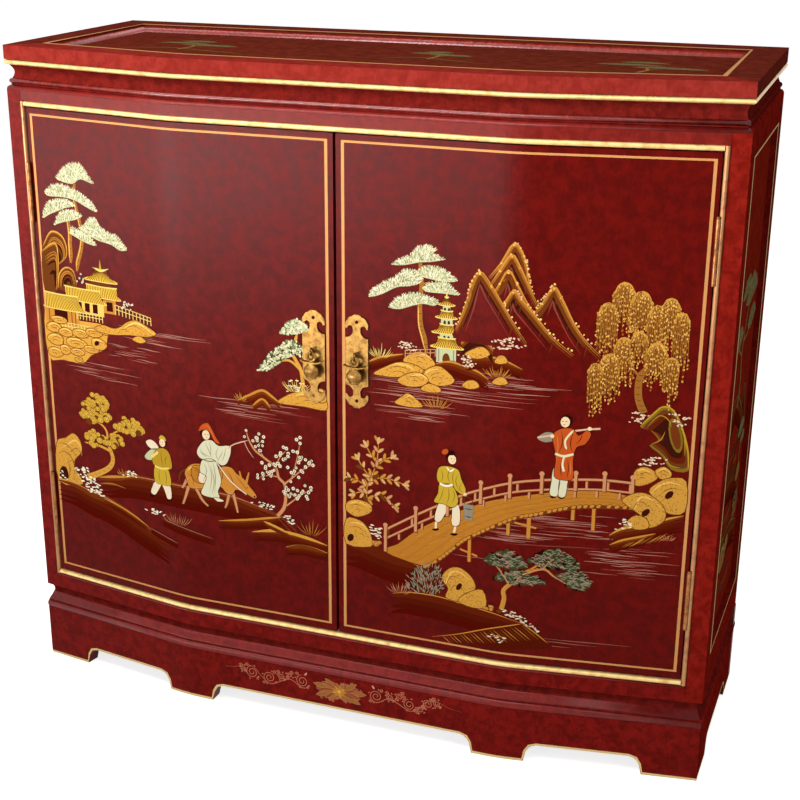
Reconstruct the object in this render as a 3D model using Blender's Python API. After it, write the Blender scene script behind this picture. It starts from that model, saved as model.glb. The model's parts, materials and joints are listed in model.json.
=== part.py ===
"""Lacquered two-door cabinet with a canted front, built as separate parts with hinged doors and drop pulls.

Metres, +Z up. X runs across the front, the front faces -Y and the feet stand on Z = 0. In plan the
front has a flat middle and two facets that slant back to the sides, with softened bends between them,
and the sides draw in a little towards the back.
"""

import math

import bmesh
import bpy
from mathutils import Matrix, Vector

# Plan of the case
CASE_WIDTH = 0.912
SIDE_TAPER = 0.0153
MIDDLE_WIDTH = 0.4293
SIDE_DEPTH = 0.2945
CANT_DEPTH = 0.0407
BEND_RADIUS = 0.250

# Heights, from the floor up
BASE_HEIGHT = 0.0814
GROOVE_HEIGHT = 0.0248
CASE_HEIGHT = 0.6778
WAIST_HEIGHT = 0.0244
TOP_HEIGHT = 0.0233

# Top: mitred rails round a sunk panel, with a half-round bead under the edge
TOP_OVERHANG = 0.0007
TOP_RAIL_WIDTH = 0.0403
TOP_RECESS = 0.009
TOP_PANEL_THICKNESS = 0.014
TOP_BEAD_HEIGHT = 0.0063
TOP_BEAD_PROUD = 0.0013
TOP_BEAD_BED = 0.005

# Waist moulding under the top, and the groove over the base
WAIST_QUIRK_DEPTH = 0.0045
WAIST_QUIRK_HEIGHT = 0.0015
WAIST_TORUS_RADIUS = 0.003
WAIST_TORUS_INSET = 0.0028
WAIST_COVE_SAG = 0.0034
WAIST_LIP_INSET = 0.004
GROOVE_DEPTH = 0.0069

# Case frame
FRAME_THICKNESS = 0.022
STILE_WIDTH = 0.0209
FRONT_TOP_RAIL = 0.0178
FRONT_BOTTOM_RAIL = 0.0225
CASE_EDGE_ROUND = 0.005
SIDE_THICKNESS = 0.022
SIDE_FRONT_STILE = 0.040
SIDE_BACK_STILE = 0.033
SIDE_TOP_RAIL = 0.038
SIDE_BOTTOM_RAIL = 0.052
SIDE_RECESS = 0.007
SIDE_PANEL_THICKNESS = 0.010
BACK_PANEL_THICKNESS = 0.008
BACK_PANEL_SET_IN = 0.002
FLOOR_THICKNESS = 0.018
SHELF_THICKNESS = 0.016
SHELF_HEIGHT = 0.330
SHELF_SET_BACK = 0.045
CLEAT_HEIGHT = 0.018
CLEAT_THICKNESS = 0.012
CLEAT_LAP = 0.010
DOOR_STOP_LENGTH = 0.090
DOOR_STOP_HEIGHT = 0.020
DOOR_STOP_THICKNESS = 0.014

# Bead round the door opening, and the doors
BEAD_WIDTH = 0.006
BEAD_DEPTH = 0.012
BEAD_PROUD = 0.003
DOOR_THICKNESS = 0.018
DOOR_GAP = 0.0015
DOOR_SET_BACK = 0.001
MEETING_GAP = 0.0034

# Base: aprons with bracket feet
BASE_OVERHANG = 0.001
APRON_THICKNESS = 0.018
BASE_BACK_THICKNESS = 0.014
BASE_EDGE_ROUND = 0.005
FOOT_WIDTH = 0.066
FOOT_FLARE = 0.006
CUT_OUT_HEIGHT = 0.024
CUT_OUT_RADIUS = 0.010

# Butt hinges
HINGE_LENGTH = 0.0715
HINGE_FROM_DOOR_END = 0.069
HINGE_PROUD = 0.002
KNUCKLE_RADIUS = 0.0026
PIN_RADIUS = 0.0012
PIN_CLEARANCE = 0.00009
PIN_BUTTON_HEIGHT = 0.0016
LEAF_THICKNESS = 0.0011
LEAF_DEPTH = 0.013
TONGUE_SHY = 0.0001
KNUCKLE_SIDES = 24

# Drop pulls and their plates
PULL_FROM_MIDDLE = 0.0276
PLATE_CENTRE_HEIGHT = 0.495
PLATE_WIDTH = 0.0288
PLATE_HEIGHT = 0.114
PLATE_THICKNESS = 0.0018
PLATE_NECK_WIDTH = 0.0094
PLATE_SHOULDER = 0.029
PLATE_FLARE = 0.0115
PLATE_WING_TIP = 0.0024
PLATE_LOBE = 0.0012
PLATE_HOLE_FROM_END = 0.0088
PLATE_HOLE_RADIUS = 0.0022
LOOP_ABOVE_PLATE_CENTRE = 0.002
LOOP_RADIUS = 0.0052
LOOP_WIRE = 0.0017
STAPLE_RADIUS = 0.0042
STAPLE_WIRE = 0.001
STAPLE_SHANK = 0.0008
STAPLE_COLLAR_RADIUS = 0.0036
STAPLE_COLLAR_HEIGHT = 0.0012
DROP_STANDOFF = 0.0075
DROP_RADIUS = 0.010
DROP_BODY_HEIGHT = 0.020
DROP_FLATNESS = 0.6
EAVES_WIDTH = 0.0266
EAVES_DEPTH = 0.006
EAVES_THICKNESS = 0.0021
EAVES_LIFT = 0.0024

# Gap left between touching pieces, and how far cutters run past what they cut
GAP = 0.0003
PAST = 0.004
ROUND_STEPS = 4
BEAD_STEPS = 8
COVE_STEPS = 8
BEND_STEPS = 6

# Levels
GROOVE_Z = BASE_HEIGHT
CASE_Z = GROOVE_Z + GROOVE_HEIGHT
WAIST_Z = CASE_Z + CASE_HEIGHT
TOP_Z = WAIST_Z + WAIST_HEIGHT
TOP_FACE_Z = TOP_Z + TOP_HEIGHT
OPENING_Z = (CASE_Z + FRONT_BOTTOM_RAIL + BEAD_WIDTH, WAIST_Z - FRONT_TOP_RAIL - BEAD_WIDTH)
DOOR_Z = (OPENING_Z[0] + DOOR_GAP, OPENING_Z[1] - DOOR_GAP)
FLOOR_TOP_Z = CASE_Z + FLOOR_THICKNESS
SHELF_Z = FLOOR_TOP_Z + SHELF_HEIGHT

# Width at the back, distances along a canted facet from its outer corner, and depths behind the case face
BACK_WIDTH = CASE_WIDTH - 2 * SIDE_TAPER
OPENING_EDGE = STILE_WIDTH + BEAD_WIDTH
DOOR_EDGE = OPENING_EDGE + DOOR_GAP
HINGE_AXIS = OPENING_EDGE + DOOR_GAP / 2
DOOR_BACK = DOOR_SET_BACK + DOOR_THICKNESS
PLATE_FRONT = GAP + PLATE_THICKNESS - DOOR_SET_BACK
PULL_OUT = PLATE_FRONT + DROP_STANDOFF
FRONT_REACH = PULL_OUT + DROP_RADIUS * DROP_FLATNESS

# The plan is centred front to back on everything that shows, pulls included
BACK_Y = (SIDE_DEPTH + CANT_DEPTH + FRONT_REACH) / 2
CORNER_Y = BACK_Y - SIDE_DEPTH
FRONT_Y = CORNER_Y - CANT_DEPTH

LEFT = -1
RIGHT = 1
SIDES = {LEFT: "left", RIGHT: "right"}

# Plan corners, counter-clockwise from above: back left, front left, the two bends, front right, back right
PLAN = [
    Vector((-BACK_WIDTH / 2, BACK_Y)),
    Vector((-CASE_WIDTH / 2, CORNER_Y)),
    Vector((-MIDDLE_WIDTH / 2, FRONT_Y)),
    Vector((MIDDLE_WIDTH / 2, FRONT_Y)),
    Vector((CASE_WIDTH / 2, CORNER_Y)),
    Vector((BACK_WIDTH / 2, BACK_Y)),
]
BACK_LEFT, FRONT_LEFT, BEND_LEFT, BEND_RIGHT, FRONT_RIGHT, BACK_RIGHT = range(6)
LEFT_SIDE, LEFT_CANT, MIDDLE, RIGHT_CANT, RIGHT_SIDE, BACK = range(6)
BENDS = (BEND_LEFT, BEND_RIGHT)
SIDE_LENGTH = (PLAN[FRONT_LEFT] - PLAN[BACK_LEFT]).length
CANT_LENGTH = (PLAN[BEND_LEFT] - PLAN[FRONT_LEFT]).length


def run_of(edge):
    """Unit vector along a plan edge."""
    return (PLAN[(edge + 1) % 6] - PLAN[edge]).normalized()


def inward(edge):
    """Unit vector from a plan edge into the case."""
    run = run_of(edge)
    return Vector((-run.y, run.x))


def meet(p, u, q, v):
    """Where the line from p along u meets the line from q along v."""
    cross = u.x * v.y - u.y * v.x
    t = ((q - p).x * v.y - (q - p).y * v.x) / cross
    return p + u * t


def corner(index, inset, back_inset=0.0):
    """A plan corner with the front and sides moved in by inset and the back by back_inset."""
    before, after = (index - 1) % 6, index % 6
    shift = {edge: back_inset if edge == BACK else inset for edge in (before, after)}
    p = PLAN[before] + inward(before) * shift[before]
    q = PLAN[after] + inward(after) * shift[after]
    return meet(p, run_of(before), q, run_of(after))


def bend(index, inset, first=0, last=BEND_STEPS):
    """Points round a softened bend of the front, moved in by inset, from one step of the arc to another."""
    centre = corner(index, BEND_RADIUS)
    near, far = -inward(index - 1), -inward(index)
    ways = [near.lerp(far, step / BEND_STEPS).normalized() for step in range(first, last + 1)]
    return [centre + way * (BEND_RADIUS - inset) for way in ways]


def outline(inset, back_inset=0.0):
    """The whole plan, with the front and sides moved in by inset and the back by back_inset."""
    points = []
    for index in range(6):
        points += bend(index, inset) if index in BENDS else [corner(index, inset, back_inset)]
    return points


def on_edge(edge, distance, inset):
    """A point on a plan edge, at a distance from the edge's first corner, moved in by inset."""
    return PLAN[edge] + run_of(edge) * distance + inward(edge) * inset


def on_cant(distance, inset):
    """A point on the left canted facet, at a distance from the outer corner."""
    return on_edge(LEFT_CANT, distance, inset)


def on_side(distance, inset):
    """A point on the left side, at a distance back from the front corner."""
    return on_edge(LEFT_SIDE, SIDE_LENGTH - distance, inset)


def flipped(points, side):
    """Plan points drawn on the left, mirrored for the right side."""
    return [Vector((p.x * -side, p.y)) for p in points]


def ring(points, z):
    return [Vector((p.x, p.y, z)) for p in points]


def arc(p, q, bulge, steps):
    """Points from p towards q on an arc that stands out by bulge to the right of the way, leaving out q."""
    chord = q - p
    half = chord.length / 2
    radius = (half * half + bulge * bulge) / (2 * abs(bulge))
    right = Vector((chord.y, -chord.x)).normalized() * (1 if bulge > 0 else -1)
    centre = (p + q) / 2 - right * (radius - abs(bulge))
    spread = 2 * math.asin(min(1.0, half / radius))
    if abs(bulge) > radius:
        spread = 2 * math.pi - spread
    turn = 1 if bulge > 0 else -1
    start = p - centre
    return [centre + Matrix.Rotation(turn * spread * i / steps, 2) @ start for i in range(steps)]


def half_round(z_low, height, proud):
    """(proud, z) pairs up a half-round edge that stands out by up to proud."""
    pairs = []
    for i in range(BEAD_STEPS + 1):
        angle = math.pi * (i / BEAD_STEPS - 0.5)
        pairs.append((proud * math.cos(angle), z_low + height * (1 + math.sin(angle)) / 2))
    return pairs


def rounded_top(z_high, radius):
    """(inset, z) pairs up a rounded upper edge."""
    pairs = []
    for i in range(ROUND_STEPS + 1):
        angle = math.pi / 2 * i / ROUND_STEPS
        pairs.append((radius * (1 - math.cos(angle)), z_high - radius * (1 - math.sin(angle))))
    return pairs


def stacked(rings):
    """A solid that rises from its first ring of points through each of the others."""
    bm = bmesh.new()
    face = bm.faces.new([bm.verts.new(p) for p in rings[0]])
    for level, points in enumerate(rings[1:]):
        made = bmesh.ops.extrude_face_region(bm, geom=[face])["geom"]
        if level:
            bmesh.ops.delete(bm, geom=[face], context="FACES_ONLY")
        face = next(item for item in made if isinstance(item, bmesh.types.BMFace))
        for vert, place in zip(face.verts, points):
            vert.co = place
    bmesh.ops.remove_doubles(bm, verts=bm.verts, dist=0.000001)
    bmesh.ops.dissolve_degenerate(bm, dist=0.000001, edges=bm.edges)
    bmesh.ops.recalc_face_normals(bm, faces=bm.faces)
    return finished(bm)


def board(points, low, high):
    return stacked([ring(points, low), ring(points, high)])


def finished(bm):
    mesh = bpy.data.meshes.new("piece")
    bm.to_mesh(mesh)
    bm.free()
    return mesh


def moved(mesh, matrix):
    mesh.transform(matrix)
    return mesh


def combined(mesh, others, operation):
    """The mesh after a Boolean with each of the others."""
    keeper = bpy.data.objects.new("keeper", mesh)
    bpy.context.scene.collection.objects.link(keeper)
    tools = []
    for other in others:
        tool = bpy.data.objects.new("tool", other)
        tool.hide_render = True
        tool.display_type = "WIRE"
        cutters.objects.link(tool)
        tools.append(tool)
        step = keeper.modifiers.new(operation, "BOOLEAN")
        step.operation = operation
        step.solver = "EXACT"
        step.object = tool
    graph = bpy.context.evaluated_depsgraph_get()
    result = bpy.data.meshes.new_from_object(keeper.evaluated_get(graph))
    for used in [keeper, *tools]:
        bpy.data.objects.remove(used)
    return result


def cylinder(radius, length, axis, centre, sides=KNUCKLE_SIDES):
    """A closed cylinder with its middle at centre."""
    bm = bmesh.new()
    turn = Vector((0, 0, 1)).rotation_difference(Vector(axis)).to_matrix().to_4x4()
    place = Matrix.Translation(centre) @ turn
    bmesh.ops.create_cone(
        bm, cap_ends=True, segments=sides, radius1=radius, radius2=radius, depth=length, matrix=place
    )
    return finished(bm)


def torus(radius, wire, axis, centre, sides=20, wire_sides=10):
    """A ring round an axis, turned from a circle."""
    bm = bmesh.new()
    upright = Matrix.Translation((radius, 0, 0)) @ Matrix.Rotation(math.pi / 2, 4, "X")
    circle = bmesh.ops.create_circle(bm, segments=wire_sides, radius=wire, matrix=upright)
    edges = list({edge for vert in circle["verts"] for edge in vert.link_edges})
    bmesh.ops.spin(
        bm, geom=edges, cent=(0, 0, 0), axis=(0, 0, 1), angle=2 * math.pi, steps=sides, use_merge=True
    )
    bmesh.ops.recalc_face_normals(bm, faces=bm.faces)
    turn = Vector((0, 0, 1)).rotation_difference(Vector(axis)).to_matrix().to_4x4()
    return moved(finished(bm), Matrix.Translation(centre) @ turn)


def finish(name, hex_colour, roughness, metallic=0.0):
    """A plain material of the part's colour."""
    material = bpy.data.materials.new(name)
    material.use_nodes = True
    shader = material.node_tree.nodes["Principled BSDF"]
    channels = [int(hex_colour[i : i + 2], 16) / 255 for i in (0, 2, 4)]
    linear = [c / 12.92 if c <= 0.04045 else ((c + 0.055) / 1.055) ** 2.4 for c in channels]
    shader.inputs["Base Color"].default_value = (*linear, 1)
    shader.inputs["Roughness"].default_value = roughness
    shader.inputs["Metallic"].default_value = metallic
    return material


def part(name, mesh, material, carrier=None):
    """A named sub-part, carried by an empty on its joint's axis if it moves."""
    mesh.name = name
    mesh.materials.clear()
    mesh.materials.append(material)
    mesh.shade_smooth()
    mesh.set_sharp_from_angle(angle=math.radians(32))
    obj = bpy.data.objects.new(name, mesh)
    cabinet.objects.link(obj)
    if carrier:
        obj.parent = carrier
        obj.matrix_parent_inverse = Matrix.Translation(carrier["at"]).inverted()
    return obj


def axis_empty(name, place, carrier=None):
    """An empty on a joint's axis."""
    empty = bpy.data.objects.new(name, None)
    empty["at"] = place
    empty.location = place
    cabinet.objects.link(empty)
    if carrier:
        empty.parent = carrier
        empty.matrix_parent_inverse = Matrix.Translation(carrier["at"]).inverted()
    return empty


def mitred(first, last, outer, inner, back=0.0):
    """Plan outline of a rail along the edges first to last, mitred at both ends but square to the back."""
    start, stop = run_of(first) * GAP * 0.7, run_of(last) * GAP * 0.7
    lines = []
    half_way = BEND_STEPS // 2
    for inset in (outer, inner):
        points = []
        for k in range(first, last + 2):
            if k in BENDS:
                begin, end = half_way if k == first else 0, half_way if k > last else BEND_STEPS
                points += bend(k, inset, begin, end)
            else:
                points.append(corner(k % 6, inset, back))
        points[0] = points[0] + start
        points[-1] = points[-1] - stop
        lines.append(points)
    return lines[0] + lines[1][::-1]


def across_back(inset, set_in, thickness):
    """Plan outline of a board across the back, with its ends this far in from the sides."""
    depth = set_in + thickness
    spots = ((BACK_LEFT, set_in), (BACK_LEFT, depth), (BACK_RIGHT, depth), (BACK_RIGHT, set_in))
    return [corner(index, inset, back) for index, back in spots]


def front_band(outer, inner, end):
    """Plan outline of a bent piece across the whole front, square at both ends."""
    outside = [on_cant(end, outer), *bend(BEND_LEFT, outer)]
    inside = [on_cant(end, inner), *bend(BEND_LEFT, inner)]
    half = outside + flipped(outside, RIGHT)[::-1]
    return half + (inside + flipped(inside, RIGHT)[::-1])[::-1]


def add_top():
    rails = {
        "front": (LEFT_CANT, RIGHT_CANT),
        "left": (LEFT_SIDE, LEFT_SIDE),
        "right": (RIGHT_SIDE, RIGHT_SIDE),
    }
    rebate_top = TOP_Z + TOP_BEAD_HEIGHT + GAP
    levels = [
        (TOP_BEAD_BED, TOP_Z),
        (TOP_BEAD_BED, rebate_top),
        (-TOP_OVERHANG, rebate_top),
        (-TOP_OVERHANG, TOP_FACE_Z),
    ]
    face = TOP_BEAD_HEIGHT / 2
    profile = half_round(TOP_Z, TOP_BEAD_HEIGHT, TOP_BEAD_PROUD + face)
    for name, (first, last) in rails.items():
        rings = [ring(mitred(first, last, inset, TOP_RAIL_WIDTH), z) for inset, z in levels]
        part("top_rail_" + name, stacked(rings), lacquer)
        rings = [ring(mitred(first, last, face - out, TOP_BEAD_BED - GAP), z) for out, z in profile]
        part("top_bead_" + name, stacked(rings), gilt)
    inset = TOP_RAIL_WIDTH + GAP
    part("top_rail_back", board(across_back(inset, 0, TOP_RAIL_WIDTH), TOP_Z, TOP_FACE_Z), lacquer)
    panel_top = TOP_FACE_Z - TOP_RECESS
    mesh = board(outline(inset, inset), panel_top - TOP_PANEL_THICKNESS, panel_top)
    part("top_panel", mesh, lacquer)


def waist_profile():
    """(inset, z) pairs up the waist moulding: quirk, torus, cove."""
    torus_low = WAIST_Z + GAP + WAIST_QUIRK_HEIGHT
    torus_high = torus_low + 2 * WAIST_TORUS_RADIUS
    centre = WAIST_TORUS_INSET + WAIST_TORUS_RADIUS
    pairs = [(WAIST_QUIRK_DEPTH, WAIST_Z + GAP), (WAIST_QUIRK_DEPTH, torus_low)]
    roll = half_round(torus_low, torus_high - torus_low, WAIST_TORUS_RADIUS)
    pairs += [(centre - out, z) for out, z in roll]
    cove_height = TOP_Z - GAP - torus_high
    for i in range(1, COVE_STEPS + 1):
        t = i / COVE_STEPS
        sag = WAIST_COVE_SAG * math.sin(math.pi * t)
        pairs.append((centre + (WAIST_LIP_INSET - centre) * t + sag, torus_high + cove_height * t))
    return pairs


def groove_profile():
    """(inset, z) pairs up the hollow edge between the base and the case."""
    pairs = []
    low, high = GROOVE_Z + GAP, CASE_Z - GAP
    for i in range(COVE_STEPS + 1):
        t = i / COVE_STEPS
        pairs.append((GROOVE_DEPTH * math.sin(0.85 * math.pi * t**1.3), low + (high - low) * t))
    return pairs


def add_waist_and_deck():
    rings = [ring(outline(inset), z) for inset, z in waist_profile()]
    part("waist_board", stacked(rings), lacquer)
    back = BASE_BACK_THICKNESS + GAP
    rings = [ring(outline(inset, back), z) for inset, z in groove_profile()]
    part("base_deck", stacked(rings), lacquer)


def case_levels(low, high):
    """(inset, z) pairs up a case piece whose upper edge is the rounded edge of the case."""
    return [(0.0, low), *rounded_top(high, CASE_EDGE_ROUND)]


def side_strip(side, ends, outer, inner):
    """Plan outline of a straight strip along a side, between two distances from the front corner."""
    near, far = ends
    strip = [on_side(near, outer), on_side(near, inner), on_side(far, inner), on_side(far, outer)]
    return flipped(strip, side)


def add_case_frame():
    top = WAIST_Z
    opening_side = STILE_WIDTH + GAP
    panel_ends = (SIDE_FRONT_STILE + GAP, SIDE_LENGTH - SIDE_BACK_STILE - GAP)
    for side, word in SIDES.items():
        rings = []
        for inset, z in case_levels(CASE_Z, top):
            post = [
                corner(FRONT_LEFT, inset),
                on_cant(STILE_WIDTH, inset),
                on_cant(STILE_WIDTH, FRAME_THICKNESS),
                on_side(SIDE_FRONT_STILE, SIDE_THICKNESS),
                on_side(SIDE_FRONT_STILE, inset),
            ]
            rings.append(ring(flipped(post, side), z))
        part(word + "_corner_post", stacked(rings), lacquer)

        rings = []
        for inset, z in case_levels(CASE_Z, top):
            post = [
                on_side(SIDE_LENGTH - SIDE_BACK_STILE, inset),
                on_side(SIDE_LENGTH - SIDE_BACK_STILE, SIDE_THICKNESS),
                corner(BACK_LEFT, SIDE_THICKNESS),
                corner(BACK_LEFT, inset),
            ]
            rings.append(ring(flipped(post, side), z))
        part(word + "_back_post", stacked(rings), lacquer)

        rail_low = top - SIDE_TOP_RAIL
        levels = case_levels(rail_low, top)
        rings = [ring(side_strip(side, panel_ends, inset, SIDE_THICKNESS), z) for inset, z in levels]
        part(word + "_side_top_rail", stacked(rings), lacquer)
        rail_high = CASE_Z + SIDE_BOTTOM_RAIL
        strip = side_strip(side, panel_ends, 0, SIDE_THICKNESS)
        part(word + "_side_bottom_rail", board(strip, CASE_Z, rail_high), lacquer)
        strip = side_strip(side, panel_ends, SIDE_RECESS, SIDE_RECESS + SIDE_PANEL_THICKNESS)
        part(word + "_side_panel", board(strip, rail_high + GAP, rail_low - GAP), lacquer)

    levels = case_levels(OPENING_Z[1] + BEAD_WIDTH + GAP, top)
    rings = [ring(front_band(inset, FRAME_THICKNESS, opening_side), z) for inset, z in levels]
    part("front_top_rail", stacked(rings), lacquer)
    rail_high = OPENING_Z[0] - BEAD_WIDTH - GAP
    band = front_band(0, FRAME_THICKNESS, opening_side)
    part("front_bottom_rail", board(band, CASE_Z, rail_high), lacquer)

    panel = across_back(SIDE_THICKNESS + GAP, BACK_PANEL_SET_IN, BACK_PANEL_THICKNESS)
    part("back_panel", board(panel, CASE_Z, top), bare_wood)


def inside_outline(front, clearance):
    """Plan outline inside the case, this far behind the front face and this far from posts and sides."""
    inset = SIDE_THICKNESS + clearance
    back = BACK_PANEL_SET_IN + BACK_PANEL_THICKNESS + clearance
    left = [
        corner(BACK_LEFT, inset, back),
        on_side(SIDE_FRONT_STILE + clearance, inset),
    ]
    if front < SIDE_FRONT_STILE:
        left.append(on_cant(STILE_WIDTH + 2 * clearance, front))
    else:
        left[-1] = meet(left[0], run_of(LEFT_SIDE), on_cant(0, front), run_of(LEFT_CANT))
    left += bend(BEND_LEFT, front)
    return left + flipped(left, RIGHT)[::-1]


def add_inside():
    floor = inside_outline(FRAME_THICKNESS + GAP, GAP)
    part("case_floor", board(floor, CASE_Z, FLOOR_TOP_Z), bare_wood)
    shelf = inside_outline(SHELF_SET_BACK, 2 * GAP)
    part("shelf", board(shelf, SHELF_Z, SHELF_Z + SHELF_THICKNESS), bare_wood)
    ends = (SIDE_FRONT_STILE + GAP, SIDE_LENGTH - SIDE_BACK_STILE + CLEAT_LAP)
    outer = SIDE_THICKNESS + GAP
    for side, word in SIDES.items():
        strip = side_strip(side, ends, outer, outer + CLEAT_THICKNESS)
        mesh = board(strip, SHELF_Z - GAP - CLEAT_HEIGHT, SHELF_Z - GAP)
        part(word + "_shelf_cleat", mesh, bare_wood)
    half = DOOR_STOP_LENGTH / 2
    near = FRONT_Y + DOOR_BACK + GAP
    far = near + DOOR_STOP_THICKNESS
    plan = [Vector(spot) for spot in ((-half, near), (half, near), (half, far), (-half, far))]
    high = OPENING_Z[1] + BEAD_WIDTH
    part("door_stop", board(plan, high - DOOR_STOP_HEIGHT, high), bare_wood)


def hinge_levels():
    """Heights of the middles of a door's two hinges."""
    reach = HINGE_FROM_DOOR_END + HINGE_LENGTH / 2
    return DOOR_Z[0] + reach, DOOR_Z[1] - reach


def on_hinge(distance, out):
    """A plan point from the left hinge axis: a distance along the facet and a distance out of it."""
    return on_cant(HINGE_AXIS + distance, -HINGE_PROUD - out)


def hinge_block(near, far, low_out, high_out, middle, length):
    """A block beside the left hinge axis."""
    spots = ((near, low_out), (far, low_out), (far, high_out), (near, high_out))
    return board([on_hinge(*spot) for spot in spots], middle - length / 2, middle + length / 2)


def mirrored(mesh, side):
    """A mesh made on the left, turned over for the right."""
    if side == RIGHT:
        mesh.transform(Matrix.Diagonal((-1, 1, 1, 1)))
        mesh.flip_normals()
    return mesh


def add_bead():
    z_low, z_high = OPENING_Z[0] - BEAD_WIDTH, OPENING_Z[1] + BEAD_WIDTH
    start = STILE_WIDTH + GAP
    face = HINGE_PROUD + DOOR_SET_BACK
    for side, word in SIDES.items():
        profile = half_round(start, BEAD_WIDTH - GAP, BEAD_PROUD)
        plan = [on_cant(s, -out) for out, s in profile]
        plan += [on_cant(OPENING_EDGE, BEAD_DEPTH), on_cant(start, BEAD_DEPTH)]
        mesh = board(plan, z_low, z_high)
        pockets = []
        for middle in hinge_levels():
            long = HINGE_LENGTH + 2 * (PIN_BUTTON_HEIGHT + 2 * GAP)
            pockets.append(hinge_block(-KNUCKLE_RADIUS - GAP, PAST, -face, PAST, middle, long))
            deep = face + LEAF_DEPTH + GAP
            near = -GAP / 2 - LEAF_THICKNESS - GAP
            pockets.append(hinge_block(near, PAST, -deep, PAST, middle, HINGE_LENGTH + 2 * GAP))
        part(word + "_opening_bead", mirrored(combined(mesh, pockets, "DIFFERENCE"), side), gilt)

    end = OPENING_EDGE + GAP
    for word, low, high in (("top", OPENING_Z[1], z_high), ("bottom", z_low, OPENING_Z[0])):
        profile = half_round(low, high - low, BEAD_PROUD)
        rings = [ring(front_band(-out, BEAD_DEPTH, end), z) for out, z in profile]
        part(word + "_opening_bead", stacked(rings), gilt)


def add_door(side):
    word = SIDES[side]
    axis = flipped([on_hinge(0, 0)], side)[0]
    carrier = axis_empty(word + "_door_axis", (*axis, DOOR_Z[0]))

    front, back = DOOR_SET_BACK, DOOR_BACK
    edge = -MEETING_GAP / 2
    plan = [
        on_cant(DOOR_EDGE, front),
        *bend(BEND_LEFT, front),
        Vector((edge, FRONT_Y + front)),
        Vector((edge, FRONT_Y + back)),
        *bend(BEND_LEFT, back)[::-1],
        on_cant(DOOR_EDGE, back),
    ]
    pockets = []
    far = GAP / 2 + LEAF_THICKNESS + GAP
    deep = HINGE_PROUD + DOOR_SET_BACK + LEAF_DEPTH + GAP
    for middle in hinge_levels():
        pockets.append(hinge_block(-PAST, far, -deep, PAST, middle, HINGE_LENGTH + 2 * GAP))
    mesh = combined(board(plan, *DOOR_Z), pockets, "DIFFERENCE")
    part(word + "_door", mirrored(mesh, side), lacquer, carrier)
    return carrier


def knuckles(lengths_and_middles):
    """Bored knuckles on the left hinge axis."""
    axis = on_hinge(0, 0)
    made = []
    for length, middle in lengths_and_middles:
        barrel = cylinder(KNUCKLE_RADIUS, length, (0, 0, 1), (*axis, middle))
        bore = cylinder(PIN_RADIUS + PIN_CLEARANCE, length + PAST, (0, 0, 1), (*axis, middle))
        made.append(combined(barrel, [bore], "DIFFERENCE"))
    return made


def leaf(start, stop, stations, middle):
    """A hinge leaf on the left: a plate in the joint, and a tongue and knuckle at each station."""
    level = -HINGE_PROUD - DOOR_SET_BACK
    plate = hinge_block(start, stop, level - LEAF_DEPTH, level, middle, HINGE_LENGTH)
    tongue_end = -PIN_RADIUS - (KNUCKLE_RADIUS - PIN_RADIUS) / 2
    extras = []
    for length, station in stations:
        low = level - LEAF_THICKNESS
        near, far = start + TONGUE_SHY, stop - TONGUE_SHY
        extras.append(hinge_block(near, far, low, tongue_end, station, length - 2 * TONGUE_SHY))
    extras += knuckles(stations)
    return combined(plate, extras, "UNION")


def add_hinges(side, carrier):
    third = HINGE_LENGTH / 3
    length = third - GAP
    axis = on_hinge(0, 0)
    for word, middle in zip(("lower", "upper"), hinge_levels()):
        name = SIDES[side] + "_" + word + "_hinge_"
        outer = [(length, middle - third), (length, middle + third)]
        frame_leaf = leaf(-GAP / 2 - LEAF_THICKNESS, -GAP / 2, outer, middle)
        part(name + "frame_leaf", mirrored(frame_leaf, side), brass)
        door_leaf = leaf(GAP / 2, GAP / 2 + LEAF_THICKNESS, [(length, middle)], middle)
        part(name + "door_leaf", mirrored(door_leaf, side), brass, carrier)
        reach = HINGE_LENGTH + PIN_BUTTON_HEIGHT
        shank = cylinder(PIN_RADIUS, reach, (0, 0, 1), (*axis, middle))
        buttons = []
        for end in (-1, 1):
            level = middle + end * (reach / 2 + GAP)
            buttons.append(cylinder(KNUCKLE_RADIUS * 0.85, PIN_BUTTON_HEIGHT, (0, 0, 1), (*axis, level)))
        part(name + "pin", mirrored(combined(shank, buttons, "UNION"), side), brass)


def plate_outline():
    """Outline of the backplate: straight middle, necked ends and a lobed crest at each end."""
    half_width, half_height, neck = PLATE_WIDTH / 2, PLATE_HEIGHT / 2, PLATE_NECK_WIDTH / 2
    neck_z = PLATE_SHOULDER + PLATE_FLARE
    tip_z = neck_z + PLATE_WING_TIP / 2
    crest = half_height - neck_z
    arch = PLATE_WING_TIP * 1.5
    stops = [
        (Vector((half_width, PLATE_SHOULDER)), -PLATE_FLARE / 3, 6),
        (Vector((neck, neck_z)), -arch, 6),
        (Vector((half_width - PLATE_WING_TIP, neck_z)), PLATE_WING_TIP * 0.45, 4),
        (Vector((half_width, tip_z)), PLATE_LOBE, 4),
        (Vector((half_width * 0.84, neck_z + crest * 0.56)), PLATE_LOBE, 4),
        (Vector((half_width * 0.42, neck_z + crest * 0.85)), PLATE_LOBE, 4),
        (Vector((0, half_height)), 0, 0),
    ]
    upper = []
    for (p, bulge, steps), (q, _, _) in zip(stops, stops[1:]):
        upper += arc(p, q, bulge, steps)
    upper_left = [Vector((-p.x, p.y)) for p in upper[::-1]]
    top = upper + [stops[-1][0]] + upper_left
    return top + [Vector((-p.x, -p.y)) for p in top]


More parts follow.
